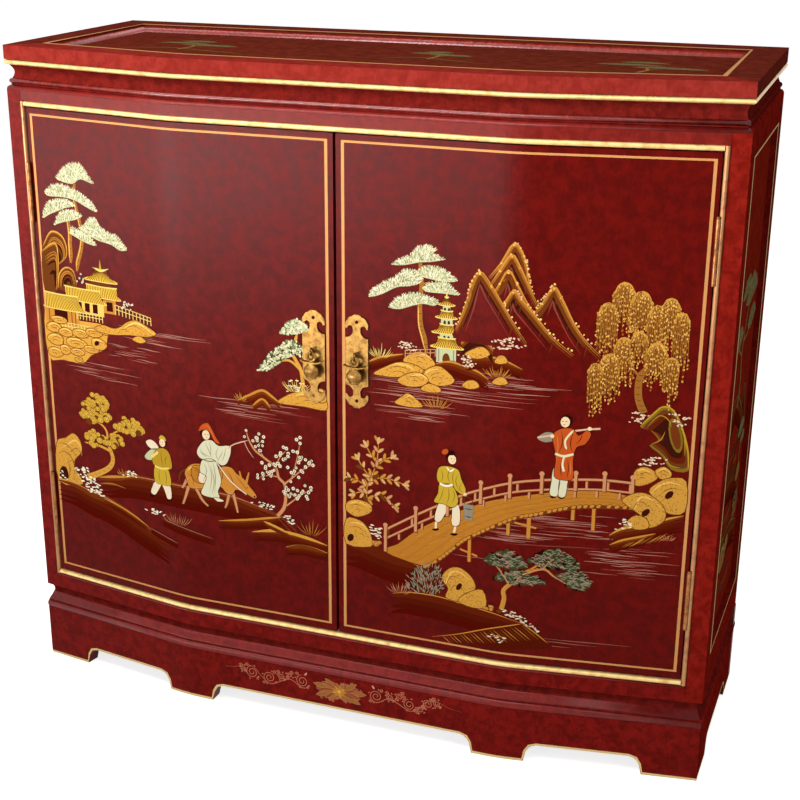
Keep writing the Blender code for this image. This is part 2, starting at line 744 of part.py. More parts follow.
def add_pull(side, carrier):
    word = SIDES[side]
    x = PULL_FROM_MIDDLE * side
    door_face = FRONT_Y + DOOR_SET_BACK
    plate_back = door_face - GAP
    plate_face = plate_back - PLATE_THICKNESS
    shape = plate_outline()
    rings = []
    for y in (plate_back, plate_face):
        rings.append([Vector((x + p.x, y, PLATE_CENTRE_HEIGHT + p.y)) for p in shape])
    hole_places = [PLATE_CENTRE_HEIGHT + end * (PLATE_HEIGHT / 2 - PLATE_HOLE_FROM_END) for end in (-1, 1)]
    middle = (plate_back + plate_face) / 2
    holes = [cylinder(PLATE_HOLE_RADIUS, PAST, (0, 1, 0), (x, middle, z), 16) for z in hole_places]
    part(word + "_pull_plate", combined(stacked(rings), holes, "DIFFERENCE"), brass, carrier)

    pull_y = plate_face - DROP_STANDOFF
    loop_z = PLATE_CENTRE_HEIGHT + LOOP_ABOVE_PLATE_CENTRE
    swing_z = loop_z + LOOP_RADIUS
    staple_z = swing_z + STAPLE_RADIUS - STAPLE_WIRE - LOOP_WIRE - GAP
    ring_back = pull_y + STAPLE_RADIUS
    collar_front = plate_face - GAP - STAPLE_COLLAR_HEIGHT
    collar_y = collar_front + STAPLE_COLLAR_HEIGHT / 2
    shank = (ring_back, collar_y)
    extras = [
        cylinder(STAPLE_SHANK, shank[1] - shank[0], (0, 1, 0), (x, sum(shank) / 2, staple_z), 12),
        cylinder(STAPLE_COLLAR_RADIUS, STAPLE_COLLAR_HEIGHT, (0, 1, 0), (x, collar_y, staple_z), 16),
    ]
    staple = combined(torus(STAPLE_RADIUS, STAPLE_WIRE, (1, 0, 0), (x, pull_y, staple_z)), extras, "UNION")
    part(word + "_pull_staple", staple, brass, carrier)

    swing = axis_empty(word + "_pull_axis", (x, pull_y, swing_z), carrier)
    eaves_z = loop_z - LOOP_RADIUS - LOOP_WIRE
    loop = torus(LOOP_RADIUS, LOOP_WIRE, (0, 1, 0), (x, pull_y, loop_z))
    drop = combined(loop, [eaves(x, pull_y, eaves_z), drop_body(x, pull_y, eaves_z)], "UNION")
    part(word + "_drop_pull", drop, brass, swing)


def eaves(x, y, z):
    """Thin flange over the drop's body, with upturned ends."""
    half = EAVES_WIDTH / 2
    count = 8
    low, high = [], []
    for i in range(count + 1):
        across = 2 * i / count - 1
        lift = EAVES_LIFT * across**4
        thick = EAVES_THICKNESS * (1 - 0.45 * abs(across))
        low.append((x + half * across, z + lift - thick / 2))
        high.append((x + half * across, z + lift + thick / 2))
    shape = low + high[::-1]
    return stacked([[Vector((px, y + way * EAVES_DEPTH / 2, pz)) for px, pz in shape] for way in (1, -1)])


def drop_body(x, y, top):
    """Vase-shaped body under the flange, turned and then flattened."""
    # Shares of the radius and of the height, from the flange down
    neck = [(0.42, 0.0), (0.50, 0.12)]
    belly = [(0.78, 0.27), (0.97, 0.42), (1.0, 0.55), (0.93, 0.70), (0.74, 0.84)]
    foot = [(0.62, 0.88), (0.68, 0.93), (0.58, 1.0)]
    profile = neck + belly + foot
    bm = bmesh.new()
    points = [(0, 0, top)] + [(DROP_RADIUS * r, 0, top - DROP_BODY_HEIGHT * t) for r, t in profile]
    points.append((0, 0, top - DROP_BODY_HEIGHT))
    verts = [bm.verts.new(p) for p in points]
    edges = [bm.edges.new(pair) for pair in zip(verts, verts[1:])]
    bmesh.ops.spin(
        bm, geom=edges, cent=(0, 0, 0), axis=(0, 0, 1), angle=2 * math.pi, steps=20, use_merge=True
    )
    bmesh.ops.remove_doubles(bm, verts=bm.verts, dist=0.00001)
    bmesh.ops.recalc_face_normals(bm, faces=bm.faces)
    return moved(finished(bm), Matrix.Translation((x, y, 0)) @ Matrix.Diagonal((1, DROP_FLATNESS, 1, 1)))


def cut_out(edge, start, stop, thickness):
    """Cutter for the opening between two feet on a plan edge: flared sides and rounded upper corners."""
    top = CUT_OUT_HEIGHT
    low_left = Vector((start, 0))
    high_left = Vector((start + FOOT_FLARE, top))
    slope = (high_left - low_left).normalized()
    near = high_left - slope * CUT_OUT_RADIUS
    after = high_left + Vector((CUT_OUT_RADIUS, 0))
    left = [low_left - slope * PAST, *arc(near, after, -CUT_OUT_RADIUS * 0.22, 5), after]
    right = [Vector((start + stop - p.x, p.y)) for p in left[::-1]]
    shape = left + right
    rings = []
    for inset in (-PAST, thickness + PAST):
        places = [on_edge(edge, p.x, inset) for p in shape]
        rings.append([Vector((place.x, place.y, p.y)) for place, p in zip(places, shape)])
    return stacked(rings)


def add_base():
    overhang = -BASE_OVERHANG
    edge = rounded_top(BASE_HEIGHT, BASE_EDGE_ROUND)
    levels = [(overhang, 0.0), *[(inset + overhang, z) for inset, z in edge]]
    half_foot = FOOT_WIDTH / 2
    fronts = {
        "base_front_left": (LEFT_CANT, FOOT_WIDTH, CANT_LENGTH - half_foot),
        "base_front_middle": (MIDDLE, half_foot, MIDDLE_WIDTH - half_foot),
        "base_front_right": (RIGHT_CANT, half_foot, CANT_LENGTH - FOOT_WIDTH),
    }
    for name, (edge, start, stop) in fronts.items():
        apron = stacked([ring(mitred(edge, edge, inset, APRON_THICKNESS), z) for inset, z in levels])
        cutter = cut_out(edge, start, stop, APRON_THICKNESS)
        part(name, combined(apron, [cutter], "DIFFERENCE"), lacquer)

    back = BASE_BACK_THICKNESS
    for side, word in SIDES.items():
        rings = []
        for inset, z in levels:
            rings.append(ring(mitred(LEFT_SIDE, LEFT_SIDE, inset, APRON_THICKNESS, back), z))
        cutter = cut_out(LEFT_SIDE, FOOT_WIDTH, SIDE_LENGTH - FOOT_WIDTH, APRON_THICKNESS)
        part("base_" + word, mirrored(combined(stacked(rings), [cutter], "DIFFERENCE"), side), lacquer)
    cutter = cut_out(BACK, FOOT_WIDTH, BACK_WIDTH - FOOT_WIDTH, back)
    mesh = board(across_back(overhang, 0, back), 0, CASE_Z - GAP)
    part("base_back", combined(mesh, [cutter], "DIFFERENCE"), bare_wood)


for old in list(bpy.data.objects):
    bpy.data.objects.remove(old)

cabinet = bpy.data.collections.new("canted_cabinet")
cutters = bpy.data.collections.new("cutters")
for group in (cabinet, cutters):
    bpy.context.scene.collection.children.link(group)

lacquer = finish("red_lacquer", "6E1614", 0.25)
gilt = finish("gilding", "C9964F", 0.35, 0.6)
brass = finish("brass", "B98A45", 0.3, 1.0)
bare_wood = finish("stained_wood", "5A2A1C", 0.6)

add_top()
add_waist_and_deck()
add_case_frame()
add_inside()
add_bead()
add_base()
for hand in SIDES:
    door = add_door(hand)
    add_hinges(hand, door)
    add_pull(hand, door)
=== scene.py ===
import json
import math
import random

import bmesh
import bpy
from mathutils import Matrix, Vector
from mathutils.geometry import intersect_line_line_2d


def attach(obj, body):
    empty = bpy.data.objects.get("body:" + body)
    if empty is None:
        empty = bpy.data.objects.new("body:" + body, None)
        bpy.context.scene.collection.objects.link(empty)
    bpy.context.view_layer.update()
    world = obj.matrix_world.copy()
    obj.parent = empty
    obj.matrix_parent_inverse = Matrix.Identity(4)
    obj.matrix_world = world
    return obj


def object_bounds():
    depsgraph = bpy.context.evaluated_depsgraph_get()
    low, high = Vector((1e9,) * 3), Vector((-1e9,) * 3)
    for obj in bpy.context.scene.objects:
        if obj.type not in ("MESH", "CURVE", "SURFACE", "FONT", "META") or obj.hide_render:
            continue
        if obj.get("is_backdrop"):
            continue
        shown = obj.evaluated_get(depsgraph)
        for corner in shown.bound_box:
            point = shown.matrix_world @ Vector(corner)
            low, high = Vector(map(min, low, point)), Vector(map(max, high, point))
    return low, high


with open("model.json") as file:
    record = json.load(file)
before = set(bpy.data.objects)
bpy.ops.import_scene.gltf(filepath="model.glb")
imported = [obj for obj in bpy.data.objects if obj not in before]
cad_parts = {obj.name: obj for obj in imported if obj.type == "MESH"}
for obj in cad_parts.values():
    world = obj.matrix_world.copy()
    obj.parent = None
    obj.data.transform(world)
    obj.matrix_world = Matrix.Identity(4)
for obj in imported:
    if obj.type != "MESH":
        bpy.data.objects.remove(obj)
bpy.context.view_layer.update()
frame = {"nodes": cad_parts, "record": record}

nodes = frame["nodes"]
scene = bpy.context.scene


def linear(hexColour):
    channels = [int(hexColour[i:i + 2], 16) / 255 for i in (0, 2, 4)]
    return [c / 12.92 if c <= 0.04045 else ((c + 0.055) / 1.055) ** 2.4 for c in channels] + [1.0]


def addNode(tree, kind, inputs=None, **settings):  # an input is another node's output, or a plain value
    node = tree.nodes.new(kind)
    for name, value in settings.items():
        if hasattr(node, name):
            setattr(node, name, value)
        else:
            node.inputs[name.replace("_", " ")].default_value = value
    for name, source in (inputs or {}).items():
        if isinstance(source, bpy.types.NodeSocket):
            tree.links.new(source, node.inputs[name])
        else:
            node.inputs[name].default_value = source
    return node


def newMaterial(name, **settings):
    material = bpy.data.materials.new(name)
    material.use_nodes = True
    shader = material.node_tree.nodes["Principled BSDF"]
    for socket, value in settings.items():
        shader.inputs[socket.replace("_", " ")].default_value = value
    return material


def wired(material, **sources):  # the material with these outputs on its shader's sockets
    tree = material.node_tree
    for socket, source in sources.items():
        tree.links.new(source, tree.nodes["Principled BSDF"].inputs[socket.replace("_", " ")])
    return material


def perMetre(millimetres):
    return 1000 / millimetres  # noise scale for a feature of this size


def plainlySeen(tree):  # 1 for camera, glossy and transmission rays, else 0
    path = addNode(tree, "ShaderNodeLightPath")
    seen = path.outputs["Is Camera Ray"]
    for ray in ("Is Glossy Ray", "Is Transmission Ray"):
        seen = addNode(tree, "ShaderNodeMath", {0: seen, 1: path.outputs[ray]},
                       operation="MAXIMUM").outputs[0]
    return seen


def addObject(name, bm, materials):
    mesh = bpy.data.meshes.new(name)
    bm.to_mesh(mesh)
    bm.free()
    for material in materials:
        mesh.materials.append(material)
    obj = bpy.data.objects.new(name, mesh)
    scene.collection.objects.link(obj)
    return obj


def addPiece(name, bm, materials, body):
    obj = addObject(name, bm, materials)
    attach(obj, body)
    print(name, len(obj.data.polygons), "faces")


# camera: the photograph's own viewpoint, worked out for an 800 x 800 picture
camera = {
    "place": (0.7419, -1.8915, 1.0789),
    "yaw": 23.01, "pitch": -22.98, "roll": -0.40,
    "focalPixels": 1659.4, "frame": 800, "sensor": 36,
    "axisRight": -58.2, "axisDown": 126.4,  # where the lens axis meets the picture, from its middle
    "clip": (0.05, 100),
}
cameraData = bpy.data.cameras.new("camera")
cameraData.sensor_width = camera["sensor"]
cameraData.lens = camera["focalPixels"] * camera["sensor"] / camera["frame"]
cameraData.shift_x = -camera["axisRight"] / camera["frame"]
cameraData.shift_y = camera["axisDown"] / camera["frame"]
cameraData.clip_start, cameraData.clip_end = camera["clip"]
cameraObject = bpy.data.objects.new("camera", cameraData)
turn = Matrix.Rotation(math.radians(camera["yaw"]), 4, "Z")
turn = turn @ Matrix.Rotation(math.radians(90 + camera["pitch"]), 4, "X")
turn = turn @ Matrix.Rotation(math.radians(camera["roll"]), 4, "Z")
cameraObject.matrix_world = Matrix.Translation(camera["place"]) @ turn
scene.collection.objects.link(cameraObject)
scene.camera = cameraObject
scene.view_settings.view_transform = "Standard"
print("camera placed")

# studio: a white room, a pale floor and soft lamps
studio = {"floor": "D8D5D0", "floorSize": 60.0, "floorLevel": -0.0005, "roomLight": 0.24, "floorLift": 0.8}
lamps = {
    "keyLamp": {"place": (-0.35, -0.95, 1.5), "aim": (-0.1, -0.16, 0.75), "size": (1.8, 0.4), "watts": 7.2,
                "spread": 100},
    "sheenLamp": {"place": (-1.5, -2.3, 0.34), "aim": (-0.05, -0.16, 0.96), "size": (3.6, 0.5), "watts": 17,
                  "spread": 54},
    "fillLamp": {"place": (2.9, -1.6, 2.2), "aim": (0.2, 0, 0.45), "size": (1.8, 1.8), "watts": 21},
    "overheadLamp": {"place": (0.2, 0.9, 3.1), "aim": (0, 0, 0.8), "size": (2.6, 1.4), "watts": 20},
}
world = bpy.data.worlds.new("room")
scene.world = world
world.use_nodes = True
tree = world.node_tree
tree.nodes.clear()
dim = addNode(tree, "ShaderNodeBackground", Color=(1, 1, 1, 1), Strength=studio["roomLight"])
white = addNode(tree, "ShaderNodeBackground", Color=(1, 1, 1, 1), Strength=1.0)
mix = addNode(tree, "ShaderNodeMixShader", {0: plainlySeen(tree), 1: dim.outputs[0], 2: white.outputs[0]})
addNode(tree, "ShaderNodeOutputWorld", {"Surface": mix.outputs[0]})

# painted floor: pale and dull, lifted to white where it is seen plainly
floorPaint = newMaterial("pale_floor_painted", Base_Color=linear(studio["floor"]), Roughness=0.9,
                         Emission_Color=(1, 1, 1, 1))
tree = floorPaint.node_tree
lift = addNode(tree, "ShaderNodeMath", {0: plainlySeen(tree), 1: studio["floorLift"]}, operation="MULTIPLY")
bm = bmesh.new()
bmesh.ops.create_grid(bm, x_segments=2, y_segments=2, size=studio["floorSize"] / 2)
bmesh.ops.translate(bm, verts=bm.verts, vec=(0, 0, studio["floorLevel"]))
floor = addObject("floor", bm, [wired(floorPaint, Emission_Strength=lift.outputs[0])])
floor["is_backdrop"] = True

for name, lamp in lamps.items():
    data = bpy.data.lights.new(name, "AREA")
    data.shape = "RECTANGLE"
    data.size, data.size_y = lamp["size"]
    data.energy = lamp["watts"]
    data.spread = math.radians(lamp.get("spread", 180))  # narrow behind a grid
    obj = bpy.data.objects.new(name, data)
    obj.visible_camera = False
    way = Vector(lamp["aim"]) - Vector(lamp["place"])
    obj.matrix_world = Matrix.Translation(lamp["place"]) @ way.to_track_quat("-Z", "Y").to_matrix().to_4x4()
    scene.collection.objects.link(obj)
print("studio lit")


# urushi-style lacquer, brushed on in thin red coats over black and rubbed down: dark cloudy mottling,
# fine upright streaks where the black shows through, and a soft gloss with a faint ripple
lacquerColumns = ("deep", "bright", "fleck", "cloud", "fleckShare", "shine", "gloss", "ripple")
lacquers = {
    "case": ("5C0A06", "7A130E", "3A0503", 12, 0.45, 0.36, 0.04, 0.1),
    "rail": ("661610", "781E18", "480E0A", 12, 0.4, 0.3, 0.06, 0.25),
    "door": ("4E0502", "600803", "380301", 13, 0.45, 0.3, 0.052, 0.1),
    "flank": ("6A120C", "851C13", "480A06", 12, 0.4, 0.5, 0.0, 0.1),
    "side": ("70190C", "842012", "541008", 15, 0.4, 0.6, 0.0, 0.1),
    "top": ("5C2016", "6E2A1C", "46160E", 15, 0.4, 0.42, 0.0, 0.1),
    "rim": ("5A2018", "6E281C", "42140E", 12, 0.4, 0.5, 0.0, 0.1),
    # the front slab: a paler, dustier red with no gloss, which is painted sheen for the light its face
    # reflects
    "slab": ("7A221B", "8C2C24", "561610", 12, 0.4, 0.4, 0.0, 0.1),
    "waist": ("581410", "701C16", "380A07", 10, 0.45, 0.4, 0.0, 0.1),
    "roll": ("6A1A14", "80251D", "400E0A", 10, 0.45, 0.24, 0.5, 0.5),
    "ledge": ("6C1410", "821D18", "480C08", 10, 0.45, 0.3, 0.22, 0.2),
    "recess": ("8A2014", "A82C1A", "641208", 8, 0.4, 0.22, 0.8, 0.9),
}


def brushedLacquer(name, look):
    material = newMaterial("red_lacquer_rubbed_" + name, IOR=1.5, Specular_IOR_Level=look["gloss"])
    tree = material.node_tree
    place = addNode(tree, "ShaderNodeTexCoord").outputs["Object"]
    cloud = addNode(tree, "ShaderNodeTexNoise", {"Vector": place}, Scale=perMetre(look["cloud"]), Detail=5.0,
                    Roughness=0.62, Distortion=0.4)
    spread = addNode(tree, "ShaderNodeMapRange", {0: cloud.outputs["Fac"]}, interpolation_type="SMOOTHSTEP",
                     From_Min=0.34, From_Max=0.66)
    coats = addNode(tree, "ShaderNodeMix", {"Factor": spread.outputs[0], 6: linear(look["deep"]),
                                            7: linear(look["bright"])}, data_type="RGBA")
    # streaks 2 mm wide and 9 mm tall
    tall = addNode(tree, "ShaderNodeMapping", {"Vector": place}, Scale=[perMetre(mm) for mm in (2, 2, 9)])
    streak = addNode(tree, "ShaderNodeTexNoise", {"Vector": tall.outputs[0]}, Scale=1.0, Detail=3.0,
                     Roughness=0.6)
    amount = addNode(tree, "ShaderNodeMapRange", {0: streak.outputs["Fac"]}, From_Min=0.5, From_Max=0.78,
                     To_Max=look["fleckShare"])
    flecked = addNode(tree, "ShaderNodeMix", {"Factor": amount.outputs[0], 6: coats.outputs[2],
                                              7: linear(look["fleck"])}, data_type="RGBA")
    dull = addNode(tree, "ShaderNodeMapRange", {0: cloud.outputs["Fac"]}, To_Min=look["shine"] - 0.08,
                   To_Max=look["shine"] + 0.1)
    wave = addNode(tree, "ShaderNodeTexNoise", {"Vector": place}, Scale=perMetre(5), Detail=2.0)
    bump = addNode(tree, "ShaderNodeBump", {"Height": wave.outputs["Fac"]}, Strength=look["ripple"],
                   Distance=0.0006)
    return wired(material, Base_Color=flecked.outputs[2], Roughness=dull.outputs[0], Normal=bump.outputs[0])


# bronze-powder gilding, brushed on over the red: warm pale gold, thinner and browner in patches
def brushedGilding(name, pale, thin):
    material = newMaterial("gold_paint_brushed_" + name, Metallic=0.45, Roughness=0.36)
    tree = material.node_tree
    place = addNode(tree, "ShaderNodeTexCoord").outputs["Object"]
    patches = addNode(tree, "ShaderNodeTexNoise", {"Vector": place}, Scale=perMetre(11), Detail=4.0,
                      Roughness=0.6)
    worn = addNode(tree, "ShaderNodeMapRange", {0: patches.outputs["Fac"]}, interpolation_type="SMOOTHSTEP",
                   From_Min=0.42, From_Max=0.72)
    tint = addNode(tree, "ShaderNodeMix", {"Factor": worn.outputs[0], 6: linear(pale), 7: linear(thin)},
                   data_type="RGBA")
    return wired(material, Base_Color=tint.outputs[2])


# cast brass, lightly brushed and gone brown in the hollows: warm metal with cloudy tarnish
def agedBrass(name, clean, brown):
    material = newMaterial("brass_cast_tarnished_" + name, Metallic=1.0)
    tree = material.node_tree
    place = addNode(tree, "ShaderNodeTexCoord").outputs["Object"]
    cloud = addNode(tree, "ShaderNodeTexNoise", {"Vector": place}, Scale=perMetre(7), Detail=5.0,
                    Roughness=0.65)
    tarnish = addNode(tree, "ShaderNodeMapRange", {0: cloud.outputs["Fac"]}, interpolation_type="SMOOTHSTEP",
                      From_Min=0.38, From_Max=0.7)
    tint = addNode(tree, "ShaderNodeMix", {"Factor": tarnish.outputs[0], 6: linear(clean), 7: linear(brown)},
                   data_type="RGBA")
    dull = addNode(tree, "ShaderNodeMapRange", {0: cloud.outputs["Fac"]}, To_Min=0.28, To_Max=0.5)
    bump = addNode(tree, "ShaderNodeBump", {"Height": cloud.outputs["Fac"]}, Strength=0.15, Distance=0.0004)
    return wired(material, Base_Color=tint.outputs[2], Roughness=dull.outputs[0], Normal=bump.outputs[0])


# stained softwood, planed: brown-red with dark grain lines along the boards
def planedWood(dark, pale):
    material = newMaterial("softwood_stained_planed", Roughness=0.55, Specular_IOR_Level=0.3)
    tree = material.node_tree
    place = addNode(tree, "ShaderNodeTexCoord").outputs["Object"]
    # grain 160 mm long and 9 mm wide
    along = addNode(tree, "ShaderNodeMapping", {"Vector": place}, Scale=[perMetre(mm) for mm in (160, 9, 9)])
    grain = addNode(tree, "ShaderNodeTexNoise", {"Vector": along.outputs[0]}, Scale=1.0, Detail=6.0,
                    Roughness=0.6, Distortion=0.5)
    line = addNode(tree, "ShaderNodeMapRange", {0: grain.outputs["Fac"]}, interpolation_type="SMOOTHSTEP",
                   From_Min=0.35, From_Max=0.65)
    tint = addNode(tree, "ShaderNodeMix", {"Factor": line.outputs[0], 6: linear(dark), 7: linear(pale)},
                   data_type="RGBA")
    bump = addNode(tree, "ShaderNodeBump", {"Height": grain.outputs["Fac"]}, Strength=0.15, Distance=0.0004)
    return wired(material, Base_Color=tint.outputs[2], Normal=bump.outputs[0])


finishes = {name: brushedLacquer(name, dict(zip(lacquerColumns, row))) for name, row in lacquers.items()}
finishes["gilding"] = brushedGilding("bead", "E6C480", "C89C58")
# the upright opening beads take this darker, browner copy of the gilding: painted shade, as they stand in
# less light than the top and bottom beads
finishes["worn"] = brushedGilding("worn", "AC784A", "8C5234")
finishes["brass"] = agedBrass("plate", "94703A", "6C4A24")
finishes["hinge"] = agedBrass("hinge", "9C6840", "684022")
finishes["wood"] = planedWood("3A1A10", "6B3622")
slotFinish = {"gilding": "gilding", "brass": "brass", "stained_wood": "wood", "red_lacquer": "case"}
nodeFinish = {
    "left_door": "door", "right_door": "door", "left_side_panel": "side", "right_side_panel": "side",
    "top_panel": "top", "top_rail_front": "slab", "top_rail_left": "rim", "top_rail_right": "rim",
    "top_rail_back": "rim", "waist_board": "waist", "base_deck": "waist", "front_top_rail": "rail",
    "left_corner_post": "case", "base_left": "flank", "base_right": "flank",
    "left_opening_bead": "worn", "right_opening_bead": "worn",
}
for row in frame["record"]["subparts"]:
    name = row["node"]
    finish = slotFinish[row["material_slot"]]
    if "_hinge_" in name:
        finish = "hinge"
    if name.startswith(("left_", "right_")) and name.endswith(("_post", "_rail")):
        finish = "flank"
    mesh = nodes[name].data
    mesh.materials.clear()
    mesh.materials.append(finishes[nodeFinish.get(name, finish)])
print("finishes on", len(nodes), "nodes")

# faces that carry paint; across and up run over the face laid out flat, in metres
frontPlan = {"faceY": -0.1603, "bendAt": 0.21465, "turn": math.atan2(0.0407, 0.24135), "radius": 0.250,
             "steps": 6}
sidePlan = {"corner": (0.456, -0.1196), "back": (0.4407, 0.1749), "sunk": 0.007}
# thickness of the lowest film and of each coat over it, and the share of its width at a stroke's tip
paintFilm = {"first": 0.00005, "coat": 0.000025, "tip": 0.12}


def frontPlace(across, up, inset):
    turn, radius = frontPlan["turn"], frontPlan["radius"] - inset
    flat = frontPlan["bendAt"] - frontPlan["radius"] * math.tan(turn / 2)
    reach = abs(across)
    angle = min(max((reach - flat) / radius, 0), turn)
    past = max(reach - flat - radius * turn, 0)
    x = min(reach, flat) + radius * math.sin(angle) + past * math.cos(turn)
    y = frontPlan["faceY"] + inset + radius * (1 - math.cos(angle)) + past * math.sin(turn)
    return Vector((math.copysign(x, across), y, up))


def bendStations(inset):
    turn, radius = frontPlan["turn"], frontPlan["radius"] - inset
    flat = frontPlan["bendAt"] - frontPlan["radius"] * math.tan(turn / 2)
    steps = [flat + radius * turn * i / frontPlan["steps"] for i in range(frontPlan["steps"] + 1)]
    return [1000 * sign * step for sign in (-1, 1) for step in steps]


def sidePlace(side, inset):
    near, far = Vector(sidePlan["corner"]), Vector(sidePlan["back"])
    run = (far - near).normalized()
    inward = Vector((-run.y, run.x))

    def place(across, up, lift):
        back = across if side > 0 else (far - near).length - across
        spot = near + run * back + inward * (inset - lift)
        return Vector((spot.x * side, spot.y, up))
    return place


# the picture in hand: its touches are laid out flat in mm, a coat's number for its height
def newCanvas(seed):
    return {"bm": bmesh.new(), "tones": [], "chance": random.Random(seed), "coat": 0, "touches": 0,
            "strokes": []}


def toneOf(tone):
    if tone not in picture["tones"]:
        picture["tones"].append(tone)
    return picture["tones"].index(tone)


def coatLevel():
    picture["touches"] += 1
    return picture["coat"] + 0.1 * (picture["touches"] % 9)  # touches of one coat lie a hair apart


def smoothed(points, steps, closed=False):
    knots = [Vector(p) for p in points]
    count = len(knots)
    if steps < 2 or count < 3:
        return knots
    line = []
    for i in range(count if closed else count - 1):
        if closed:
            a, b, c, d = (knots[(i + k) % count] for k in (-1, 0, 1, 2))
        else:
            a, b, c, d = (knots[min(max(i + k, 0), count - 1)] for k in (-1, 0, 1, 2))
        for k in range(steps):
            t = k / steps
            line.append(b + ((c - a) * t + (2 * a - 5 * b + 4 * c - d) * t * t
                             + (3 * b - a - 3 * c + d) * t ** 3) * 0.5)
    return line if closed else line + [knots[-1]]


def brush(tone, width, points, ends=(0.3, 0.3), steps=4, closed=False):
    line = smoothed(points, steps, closed)
    count = len(line)
    wide = width if isinstance(width, tuple) else (width, width)
    bm = picture["bm"]
    level = coatLevel()
    verts = [bm.verts.new((p.x, p.y, level)) for p in line]
    pairs = list(zip(verts, verts[1:])) + ([(verts[-1], verts[0])] if closed else [])
    sweeps = []
    for i in range(count):
        before = line[i - 1] if closed or i else line[0]
        after = line[(i + 1) % count] if closed or i < count - 1 else line[-1]
        way = after - before
        share = i / max(count - 1, 1)
        half = (wide[0] + (wide[1] - wide[0]) * share) / 2
        for end, gone in ((ends[0], share), (ends[1], 1 - share)):
            if end and not closed:
                half *= min(1, paintFilm["tip"] + (1 - paintFilm["tip"]) * gone / end)
        across = Vector((-way.y, way.x)).normalized() * half
        if steps < 2 and (closed or 0 < i < count - 1):  # keeps a straight line's width round a corner
            bend = (line[i] - line[i - 1]).angle(line[(i + 1) % count] - line[i], 0)
            across /= max(0.5, math.cos(bend / 2))
        sweeps.append(across)
    picture["strokes"].append((verts, [bm.edges.new(pair) for pair in pairs], sweeps, toneOf(tone)))


def band(tone, width, points):  # ends cut square
    brush(tone, width, points, ends=(0, 0))


def bar(tone, width, points):  # ends cut square, corners sharp
    brush(tone, width, points, ends=(0, 0), steps=1)


def patch(tone, points, steps=3):
    line = smoothed(points, steps, closed=True)
    bm = picture["bm"]
    level = coatLevel()
    face = bm.faces.new([bm.verts.new((p.x, p.y, level)) for p in line])
    face.material_index = toneOf(tone)


def dab(tone, at, size, squash=1.0, turn=0.0, sides=7):
    spin = Matrix.Rotation(math.radians(turn), 2)
    rim = [math.tau * k / sides for k in range(sides)]
    patch(tone, [Vector(at) + spin @ Vector((size * math.cos(t), size * squash * math.sin(t))) for t in rim],
          steps=1)


def inside(point, loop):
    hit = False
    for p, q in zip(loop, loop[1:] + loop[:1]):
        if (p[1] > point[1]) != (q[1] > point[1]):
            if point[0] < p[0] + (q[0] - p[0]) * (point[1] - p[1]) / (q[1] - p[1]):
                hit = not hit
    return hit


def scattered(loop, count):
    low = [min(p[k] for p in loop) for k in (0, 1)]
    high = [max(p[k] for p in loop) for k in (0, 1)]
    spots = []
    while len(spots) < count:
        spot = [picture["chance"].uniform(low[k], high[k]) for k in (0, 1)]
        if inside(spot, loop):
            spots.append(spot)
    return spots


def finishCanvas(name, place, body, stations=()):
    bm = picture["bm"]
    # every stroke is a line of edges, drawn out to both sides of its path by half its width
    bmesh.ops.extrude_edge_only(bm, edges=[edge for stroke in picture["strokes"] for edge in stroke[1]])
    for verts, edges, sweeps, index in picture["strokes"]:
        own = set(verts)
        for vert, sweep in zip(verts, sweeps):
            twin = next(e.other_vert(vert) for e in vert.link_edges if e.other_vert(vert) not in own)
            middle = vert.co.xy
            vert.co.xy, twin.co.xy = middle - sweep, middle + sweep
        for edge in edges:
            edge.link_faces[0].material_index = index
    bmesh.ops.triangulate(bm, faces=[f for f in bm.faces if len(f.verts) > 4])
    for station in stations:
        bmesh.ops.bisect_plane(bm, geom=bm.verts[:] + bm.edges[:] + bm.faces[:], dist=0.0001,
                               plane_co=(station, 0, 0), plane_no=(1, 0, 0))
    bm.normal_update()
    bmesh.ops.reverse_faces(bm, faces=[f for f in bm.faces if f.normal.z < 0])
    for vert in bm.verts:
        lift = paintFilm["first"] + paintFilm["coat"] * vert.co.z
        vert.co = place(vert.co.x / 1000, vert.co.y / 1000, lift)
    addPiece(name, bm, [paints[tone] for tone in picture["tones"]], body)


# tempera and bronze-powder paints, laid on by brush in flat touches: each tone is even, the picture's
# life comes from many touches of near tones; the golds glint a little and the rest are dull
paintTones = {
    "gold": "BC8836", "paleGold": "D6A554", "darkGold": "8E5A22", "brown": "623314", "umber": "36120A",
    "ochre": "AC6E24", "tan": "B97A30", "rose": "BE8058",
    "yellow": "B6962C", "tileGold": "D8AF3C", "straw": "D8BE68", "mustard": "A88424", "amber": "BE9434",
    "olive": "765C1C",
    "cream": "D2C89E", "sage": "B2B488", "moss": "747A54", "fir": "3C3E26",
    "white": "E2D8BC", "linen": "D8C6A8", "robe": "C9C4A4", "blush": "CDA184",
    "mist": "945A4C", "haze": "78382E", "mauve": "A07264",
    "orange": "B24A1C", "coral": "C4703A", "skin": "DEC098", "ink": "220A06", "grey": "857C6A",
    "lineGold": "BE8650", "footGold": "DEBF84", "leafGold": "9A6430", "copper": "BC7256", "ember": "8A4A26",
    "hillGold": "6A2E0E", "hillBrown": "5A1C09", "hillRust": "501407", "hillRed": "4C0E05",
    "hillDark": "4E0B04", "wheat": "C4965E",
    "dimGold": "8C6534", "dimGreen": "666240", "dimSage": "AE9C6A", "dimBrown": "5A2A18",
}
goldTones = ("gold", "paleGold", "darkGold", "lineGold")
paints = {}
for tone, colour in paintTones.items():
    metal = 0.15 if tone in goldTones else 0.0
    paints[tone] = newMaterial("paint_brushed_" + tone, Base_Color=linear(colour), Metallic=metal,
                               Roughness=0.45, Specular_IOR_Level=0.0)
paints["lacquerFilm"] = finishes["case"]
paints["ground"] = finishes["door"]  # the door's own lacquer, laid over what stands behind

# gold lines round the doors
doorLine = {"wide": 3.1, "outer": 424.0, "meeting": 10.2, "low": 146.0, "high": 750.5, "inset": 0.001}


